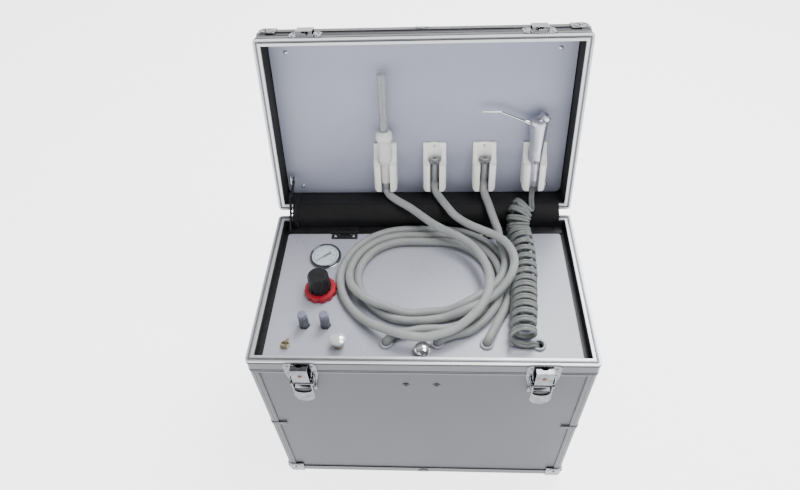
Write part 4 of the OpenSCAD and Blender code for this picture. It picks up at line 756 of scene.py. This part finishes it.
def curlyLine():
    # the coils' line, and the direction of each turn's own axis
    axis = evenPath(throughPoints(curly["axis"]), 1.0, 8)
    along, ahead = runAlong(axis), directions(axis)
    stations = [float(np.interp(y, axis[:, 1], along)) for y in curly["turns"]]
    left = along[-1] - stations[-1]
    stations += [stations[-1] + left*share for share in curly["rearTurns"]]
    steps, turns, fan = curly["perTurn"], len(stations) - 1, np.array(curly["fan"])
    toEnd = left*(1 - curly["rearTurns"][-1])/curly["lastTurn"]
    line, turnAxes = [], []
    for i in range(turns*steps + int(steps*curly["lastTurn"])):
        t = i/steps
        s = float(np.interp(t, range(turns + 1), stations)) + max(0.0, t - turns)*toEnd
        centre, turnAxis = (atRun(values, along, s) for values in (axis, ahead))
        share = (s - (along[-1] - left))/left
        if share > 0:
            bent = atRun(fan, curly["fanAt"], share)
            turnAxis = turnAxis + (bent - turnAxis)*min(1.0, share/0.3)
        turnAxis /= np.linalg.norm(turnAxis)
        side = np.cross(turnAxis, [0, 0, 1.0])
        side /= np.linalg.norm(side)
        up = np.cross(side, turnAxis)
        # the front turn starts at its lowest point
        angle = math.radians(-90) - 2*math.pi*t
        out = side*math.cos(angle) + up*math.sin(angle)
        uneven = sum(size*math.sin(t*rate + start) for size, rate, start in curly["uneven"])
        line.append(centre + out*(curly["radius"] + uneven))
        turnAxes.append(turnAxis)
    return np.array(line), np.array(turnAxes)


def layCurlyTube():
    coils, turnAxes = curlyLine()
    hole = evenPath(throughPoints(curly["toHole"]), 1.5)[::-1]
    lead = evenPath(throughPoints(curly["lead"]), 1.5)[::-1]
    line = np.concatenate([hole[:-1], coils, lead])
    # the tubes' flat side faces the coil's middle, and turns smoothly into the plain runs
    frontJoin, rearJoin = len(hole) - 1, len(hole) - 1 + len(coils)
    sides = np.concatenate([np.tile([0.0, 1.0, 0.15], (frontJoin, 1)), turnAxes,
                            np.tile([1.0, 0.0, 0.0], (len(lead), 1))])
    for _ in range(10):
        for first, last in ((frontJoin - 6, frontJoin + 7), (rearJoin - 9, rearJoin + 7)):
            ease(line, first, last)
            ease(sides, first, last)
    # even steps over the whole line, so that nothing kinks at the joins
    run = runAlong(line)
    evenRun = np.linspace(0, run[-1], int(run[-1]/curly["step"]))
    line, sides = atRun(line, run, evenRun), atRun(sides, run, evenRun)
    for _ in range(3):
        ease(line, 1, len(line) - 1)
    # the turns that hang over the case's hinge are made as one piece with the lead
    split = int(np.argmax(line[:, 1] > curly["overHinge"]))
    for name, part, leaves, solid, lay in (
            ("curlyTwinTube", slice(0, split + 1), 0, "curly_hose", "coiled"),
            ("curlyTwinLead", slice(split, len(line)), -1, "curly_lead", "loose")):
        v, f = sweep(line[part], twinSection(curly["tube"]), side=sides[part])
        piece = addPiece(name, v, f, twinTube, replaces=(solid,), sharp=70)
        if lay == "coiled":
            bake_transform(piece)
        else:
            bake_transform(piece)


layCurlyTube()

# black cloth flap over the hinge
flap = {"left": -186.5, "right": 192.5, "columns": 150, "thick": 1.2,
        # from the case's rear inside edge, (back, up)
        "edge": (122.5, 325),
        "line": [(-10.2, -12.6), (-10.2, -1), (-9.4, 3), (-6.5, 7.6), (-0.5, 11.6), (5, 14),
                 (9.5, 15.2), (14, 13.6), (20, 11.9), (38, 7.4)],
        # shallow folds that run down the cloth: height, how close, how far they lean, from where
        "folds": [(0.28, 0.045, 2, 0), (0.18, 0.11, 3, 1.3), (0.10, 0.31, 5, 0)],
        # the rolled left edge: radius, how far in and how proud its middle lies
        "roll": (3.4, 2.6, 1.4)}


def makeFlap():
    back, up = flap["edge"]
    line = evenPath(throughPoints([(0, back + u, up + h) for u, h in flap["line"]]), 1.6, 3)
    ahead = directions(line)
    normal = np.stack([np.zeros(len(line)), -ahead[:, 2], ahead[:, 1]], 1)
    n, m = flap["columns"], len(line)
    s = np.linspace(0, 1, m)
    top, bottom = [], []
    for x in np.linspace(flap["left"], flap["right"], n):
        # slack in the middle, fixed at both edges
        fold = sum(high*np.sin(x*close + start + lean*s) for high, close, lean, start in flap["folds"])
        lift = (np.sin(np.pi*s)**2*fold)[:, None]
        mid = line + normal*lift + np.array([x, 0, 0])
        top.append(mid + normal*flap["thick"]/2)
        bottom.append(mid - normal*flap["thick"]/2)
    verts = np.concatenate([np.array(top).reshape(-1, 3), np.array(bottom).reshape(-1, 3)])
    faces = []
    for i in range(n - 1):
        for k in range(m - 1):
            a = i*m + k
            faces.append((a, a + 1, a + m + 1, a + m))
            b = a + n*m
            faces.append((b, b + m, b + m + 1, b + 1))
    rim = [i*m for i in range(n)] + [(n - 1)*m + k for k in range(1, m)]
    rim += [i*m + m - 1 for i in range(n - 2, -1, -1)] + list(range(m - 2, 0, -1))
    for a, b in zip(rim, rim[1:] + rim[:1]):
        faces.append((a, b, b + n*m, a + n*m))
    cloth = addPiece("hingeFlapCloth", verts, faces, flapCloth, sharp=50)
    # the left edge is rolled and stitched
    radius, inward, proud = flap["roll"]
    edge = line[2:-2] + normal[2:-2]*proud + np.array([flap["left"] + inward, 0, 0])
    v, f = sweep(edge, roundSection(radius, 18))
    hem = addPiece("hingeFlapRolledEdge", v, f, flapCloth, sharp=60)
    for piece in (cloth, hem):
        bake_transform(piece)
    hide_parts("hinge_flap")


makeFlap()

# raised lines of the extruded sections
ridges = {"radius": 0.55, "rim": (303.2, 306.2, 320.6), "lid": (329.6, 341.2), "corner": 5,
          "leg": (199.6, 203.4), "legHeights": (16.5, 110, 200, 299.5)}


def caseOutline(z):
    # round the outside of the case at one height
    w, d, r = caseSize["halfWide"], caseSize["halfDeep"], ridges["corner"]
    points = []
    for sx, sy, start in ((1, 1, 0), (-1, 1, 90), (-1, -1, 180), (1, -1, 270)):
        for k in range(7):
            a = math.radians(start + 15*k)
            points.append((sx*(w - r) + r*math.cos(a), sy*(d - r) + r*math.sin(a), z))
    return points


def makeRidges():
    section = roundSection(ridges["radius"], 10)
    w, d = caseSize["halfWide"], caseSize["halfDeep"]
    loops = [sweep(caseOutline(z), section, closed=True) for z in ridges["rim"]]
    for x in ridges["leg"]:
        for sx in (-1, 1):
            for sy in (-1, 1):
                # one on the front or rear face, one on the side
                for px, py in ((x, d), (w, x - w + d)):
                    loops.append(sweep([(sx*px, sy*py, z) for z in ridges["legHeights"]], section))
    v, f = joined(*loops)
    addPiece("baseSectionLines", v, f, edgeSection, body="case")
    loops = [sweep([openLid(p) for p in caseOutline(z)], section, closed=True) for z in ridges["lid"]]
    v, f = joined(*loops)
    addPiece("lidSectionLines", v, f, edgeSection, body="lid")


makeRidges()

# pressure gauge: case with bezel, dial, needle and glass, lathe turned
# turned profiles are (radius, height above the deck)
gauge = {"at": (-135, 54), "deck": 312.0, "needleAngle": 218,
         "case": [(0, -26), (19, -26), (19, 0.02), (22.3, 0.02), (22.3, 0.9), (21.9, 1.2), (21.5, 1.4),
                  (21.5, 3.7), (21.2, 4.5), (20.5, 4.9), (19.6, 4.8), (19.1, 4.5), (18.9, 4.1),
                  (18.9, 2.0), (18.4, 1.7), (0, 1.7)],
         "dial": [(0, 1.75), (18.5, 1.75), (18.5, 2.4), (0, 2.4)],
         "glass": [(0, 4.1), (18.85, 4.1), (18.85, 4.45), (0, 4.45)],
         "hub": [(0, 2.6), (2.1, 2.6), (2.1, 3.3), (1.5, 3.8), (0, 3.9)],
         "needle": [(15.6, -0.35), (15.6, 0.35), (2, 1.0), (-1.5, 1.5), (-8.6, 2.3), (-9.4, 1.6),
                    (-9.4, -1.6), (-8.6, -2.3), (-1.5, -1.5), (2, -1.0)], "needleZ": (2.9, 3.3)}


def makeGauge():
    at = (*gauge["at"], gauge["deck"])
    for name, part, material, slot, node in (
            ("gaugeCaseTurned", "case", gaugeChrome, "grey_metal", "gauge_case"),
            ("gaugeDialPrinted", "dial", dialWhite, "dial_face", "gauge_dial"),
            ("gaugeGlass", "glass", lensGlass, "glass", "gauge_lens")):
        v, f = lathe(gauge[part], at, steps=96)
        addPiece(name, v, f, material, body="deck", replaces=(node,), sharp=35)
    a = math.radians(gauge["needleAngle"])
    outline = [(at[0] + x*math.cos(a) - y*math.sin(a), at[1] + x*math.sin(a) + y*math.cos(a))
               for x, y in gauge["needle"]]
    n = len(outline)
    v = [(x, y, at[2] + h) for h in gauge["needleZ"] for x, y in outline]
    f = [tuple(range(n)), tuple(range(n, 2*n))]
    f += [(k, (k + 1) % n, n + (k + 1) % n, n + k) for k in range(n)]
    v, f = joined((v, f), lathe(gauge["hub"], at, steps=32))
    addPiece("gaugeNeedleBlade", v, f, dialInk, body="gauge_needle",
             replaces=("gauge_needle",), sharp=35)


makeGauge()

# scale marks and plain numbers of the dial
dial = {"at": (-135, 54), "top": 314.44, "outer": 16.4, "from": 225, "sweep": 270, "marks": 50,
        # (inner end, half width) of the plain marks and of every fifth one
        "short": (15.3, 0.2), "long": (14.4, 0.42), "markZ": (-0.03, 0.06),
        "numberAt": 11.2, "numberZ": 0.02, "numberSize": 4.2, "numberThick": 0.03}


def makeDial():
    parts = []
    cx, cy = dial["at"]
    for i in range(dial["marks"] + 1):
        a = math.radians(dial["from"] - dial["sweep"]*i/dial["marks"])
        inner, half = dial["long" if i % 5 == 0 else "short"]
        d, n = np.array([math.cos(a), math.sin(a)]), np.array([-math.sin(a), math.cos(a)])
        corners = [d*r + n*w for r, w in ((inner, -half), (dial["outer"], -half),
                                          (dial["outer"], half), (inner, half))]
        v = [(cx + c[0], cy + c[1], dial["top"] + h) for h in dial["markZ"] for c in corners]
        parts.append((v, boxFaces))
    v, f = joined(*parts)
    addPiece("dialMarks", v, f, dialInk, body="deck")
    # plain even numbers, one at every tenth mark
    for i in range(6):
        a = math.radians(dial["from"] - dial["sweep"]*i/5)
        name = "dialNumber%d" % (2*i)
        text = bpy.data.curves.new(name, "FONT")
        text.body = str(2*i)
        text.size = dial["numberSize"]*0.001
        text.align_x = "CENTER"
        text.align_y = "CENTER"
        text.extrude = dial["numberThick"]*0.001
        text.materials.append(dialInk)
        number = bpy.data.objects.new(name, text)
        scene.collection.objects.link(number)
        x, y = cx + dial["numberAt"]*math.cos(a), cy + dial["numberAt"]*math.sin(a)
        number.location = (x*0.001, y*0.001, (dial["top"] + dial["numberZ"])*0.001)
        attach(number, "deck")


makeDial()

# small metal bits: corner bosses, hinge screws, latch rivets, and black plates that paint the shade in
# the latches' openings
# turned profiles are (radius, height above the surface)
trim = {"boss": [(0, -0.6), (10.4, -0.6), (10.4, 0.45), (9.7, 0.85), (7.6, 0.95), (7.0, 0.6),
                 (3.0, 0.5), (2.7, 1.3), (1.7, 1.8), (0, 1.9)],
        "screw": [(0, -0.4), (2.15, -0.4), (2.15, 0.4), (1.6, 1.0), (0.9, 1.15), (0.8, 0.8), (0, 0.75)],
        "rivet": [(0, -0.4), (2.7, -0.4), (2.6, 0.5), (1.7, 1.1), (0, 1.3)],
        "cap": 22.0, "capThick": 1.2,
        # hinges along x, their screws to each side, and y and z of the screws
        "hinges": (-112, 104), "screwAside": 13, "screwAt": (92, 313.5),
        # latches along x, their rivets' distance from the board and height
        "latches": (-145, 145), "rivetAt": (9.5, 307),
        # the shade plate's half width, lowest, highest, and distances from the board
        "openingShadePlate": (10.6, 266.0, 277.2, 8.0, 8.9)}


def makeTrim():
    base, lid = [], []
    h, thick = trim["cap"]/2, trim["capThick"]
    w, d, lidTop = caseSize["halfWide"], caseSize["halfDeep"], caseSize["lidTop"]
    for sx in (-1, 1):
        for sy in (-1, 1):
            for spots, z in ((base, caseSize["foot"] + h), (lid, lidTop - h)):
                spots.append(((sx*(w - h), sy*(d + thick), z), (0, sy, 0)))
                spots.append(((sx*(w + thick), sy*(d - h), z), (sx, 0, 0)))
            lid.append(((sx*(w - h), sy*(d - h), lidTop + thick), (0, 0, 1)))
    v, f = joined(*[lathe(trim["boss"], at, axis, 40) for at, axis in base])
    addPiece("baseCornerBosses", v, f, pressedCap, body="case", sharp=45)
    parts = []
    for at, axis in lid:
        v, f = lathe(trim["boss"], at, axis, 40)
        parts.append(([openLid(p) for p in v], f))
    v, f = joined(*parts)
    addPiece("lidCornerBosses", v, f, pressedCap, body="lid", sharp=45)
    aside = trim["screwAside"]
    screws = [(x + s, *trim["screwAt"]) for x in trim["hinges"] for s in (-aside, aside)]
    v, f = joined(*[lathe(trim["screw"], at, (0, 0, 1), 24) for at in screws])
    addPiece("deckHingeScrews", v, f, nickelScrew, body="deck", sharp=45)
    for side, x in zip(("Left", "Right"), trim["latches"]):
        out, z = trim["rivetAt"]
        v, f = lathe(trim["rivet"], (x, -d - out, z), (0, -1, 0), 32)
        addPiece("latchRivet" + side, v, f, agedCopper, body="latch_claw_" + side.lower(),
                 sharp=45)
        # blackened stiffener seen through the lever's half-round opening
        # black plate behind the lever's half-round opening: painted shade where the opening shows only
        # shadow
        half, low, high, near, far = trim["openingShadePlate"]
        corners = ((-half, low), (half, low), (half, high), (-half, high))
        v = [(x + a, -d - o, z) for o in (near, far) for a, z in corners]
        addPiece("latchOpeningShadePlate" + side, v, boxFaces, blackSteel, body="latch_lever_" + side.lower(),
                 sharp=30)


makeTrim()

# the suction tip's wire, which shows through its clear wall
tipWire = {"radius": 0.9, "from": 62, "to": 166, "bow": 0.25}


def makeTipWire():
    heights = np.linspace(tipWire["from"], tipWire["to"], 12)
    line = [inHolder(0, tipWire["bow"]*math.sin(h*0.06), 0, h) for h in heights]
    v, f = sweep(line, roundSection(tipWire["radius"], 14))
    addPiece("tipWire", v, f, agedCopper, body="ejector_tip", sharp=60)


makeTipWire()
print("extra pieces made")

# floor and light
studio = {"floor": ("#f4f4f4", "#f5f5f5"), "floorGlow": 3.0, "reach": 6000.0,
          "worldLow": "#8f9194", "worldPower": 0.75, "wallPower": 2.6,
          # each light's place and aim in metres, its size and power
          "lights": {"keyLight": ((0.55, 1.05, 2.05), (0.05, 0, 0.3), 0.9, 42.0),
                     "overheadLight": ((0.62, -0.12, 1.95), (0.05, 0, 0.3), 0.8, 18.0),
                     "fillLight": ((-1.3, -1.5, 1.2), (0, 0, 0.25), 1.4, 6.0)}}


def makeFloor():
    # painted board, white and matt, that glows a little so that it stays pale in the shade
    finish = makeFinish("paleStudioFloor", {
        "tones": studio["floor"], "toneSize": 800, "grain": 4.0, "rough": (0.7, 0.8), "edge": 0.1,
        "sockets": {"Emission Color": colour("#ffffff"), "Emission Strength": studio["floorGlow"]}})
    r = studio["reach"]
    corners = [(-r, -r, 0), (r, -r, 0), (r, r, 0), (-r, r, 0)]
    floor = addPiece("studioFloor", corners, [(0, 1, 2, 3)], finish)


def makeWorld():
    # a grey room, brighter overhead and to the rear, dim in front, with a pale wall at eye level
    world = bpy.data.worlds.new("studioWorld")
    scene.world = world
    world.use_nodes = True
    tree = world.node_tree
    tree.nodes.clear()
    place = addNode(tree, "ShaderNodeTexCoord").outputs["Generated"]
    apart = addNode(tree, "ShaderNodeSeparateXYZ", {"Vector": place})
    height = addNode(tree, "ShaderNodeMapRange", {
        "Value": apart.outputs["Z"], "From Max": 0.9}).outputs[0]
    wall = addNode(tree, "ShaderNodeMapRange", {
        "Value": apart.outputs["Z"], "From Min": 0.14, "From Max": 0.42}).outputs[0]
    front = addNode(tree, "ShaderNodeMapRange", {
        "Value": apart.outputs["Y"], "From Min": -0.4, "From Max": 0.4, "To Min": 0.25}).outputs[0]
    tone = addNode(tree, "ShaderNodeMix", {
        0: height, 6: colour(studio["worldLow"]), 7: colour("#ffffff")}, data_type="RGBA").outputs[2]
    tone = addNode(tree, "ShaderNodeMix", {0: wall, 6: colour("#ffffff"), 7: tone},
                   data_type="RGBA").outputs[2]
    power = addNode(tree, "ShaderNodeMath", {0: front, 1: studio["worldPower"]}, operation="MULTIPLY")
    power = addNode(tree, "ShaderNodeMix", {0: wall, 2: studio["wallPower"], 3: power.outputs[0]},
                    data_type="FLOAT").outputs[0]
    light = addNode(tree, "ShaderNodeBackground", {"Color": tone, "Strength": power})
    addNode(tree, "ShaderNodeOutputWorld", {"Surface": light.outputs[0]})


def makeLights():
    for name, (place, aim, size, power) in studio["lights"].items():
        data = bpy.data.lights.new(name, "AREA")
        data.size = size
        data.energy = power
        lamp = bpy.data.objects.new(name, data)
        scene.collection.objects.link(lamp)
        lamp.location = place
        lamp.rotation_euler = (Vector(aim) - Vector(place)).to_track_quat("-Z", "Y").to_euler()


makeFloor()
makeWorld()
makeLights()
print("floor and lights made")

bpy.context.view_layer.update()
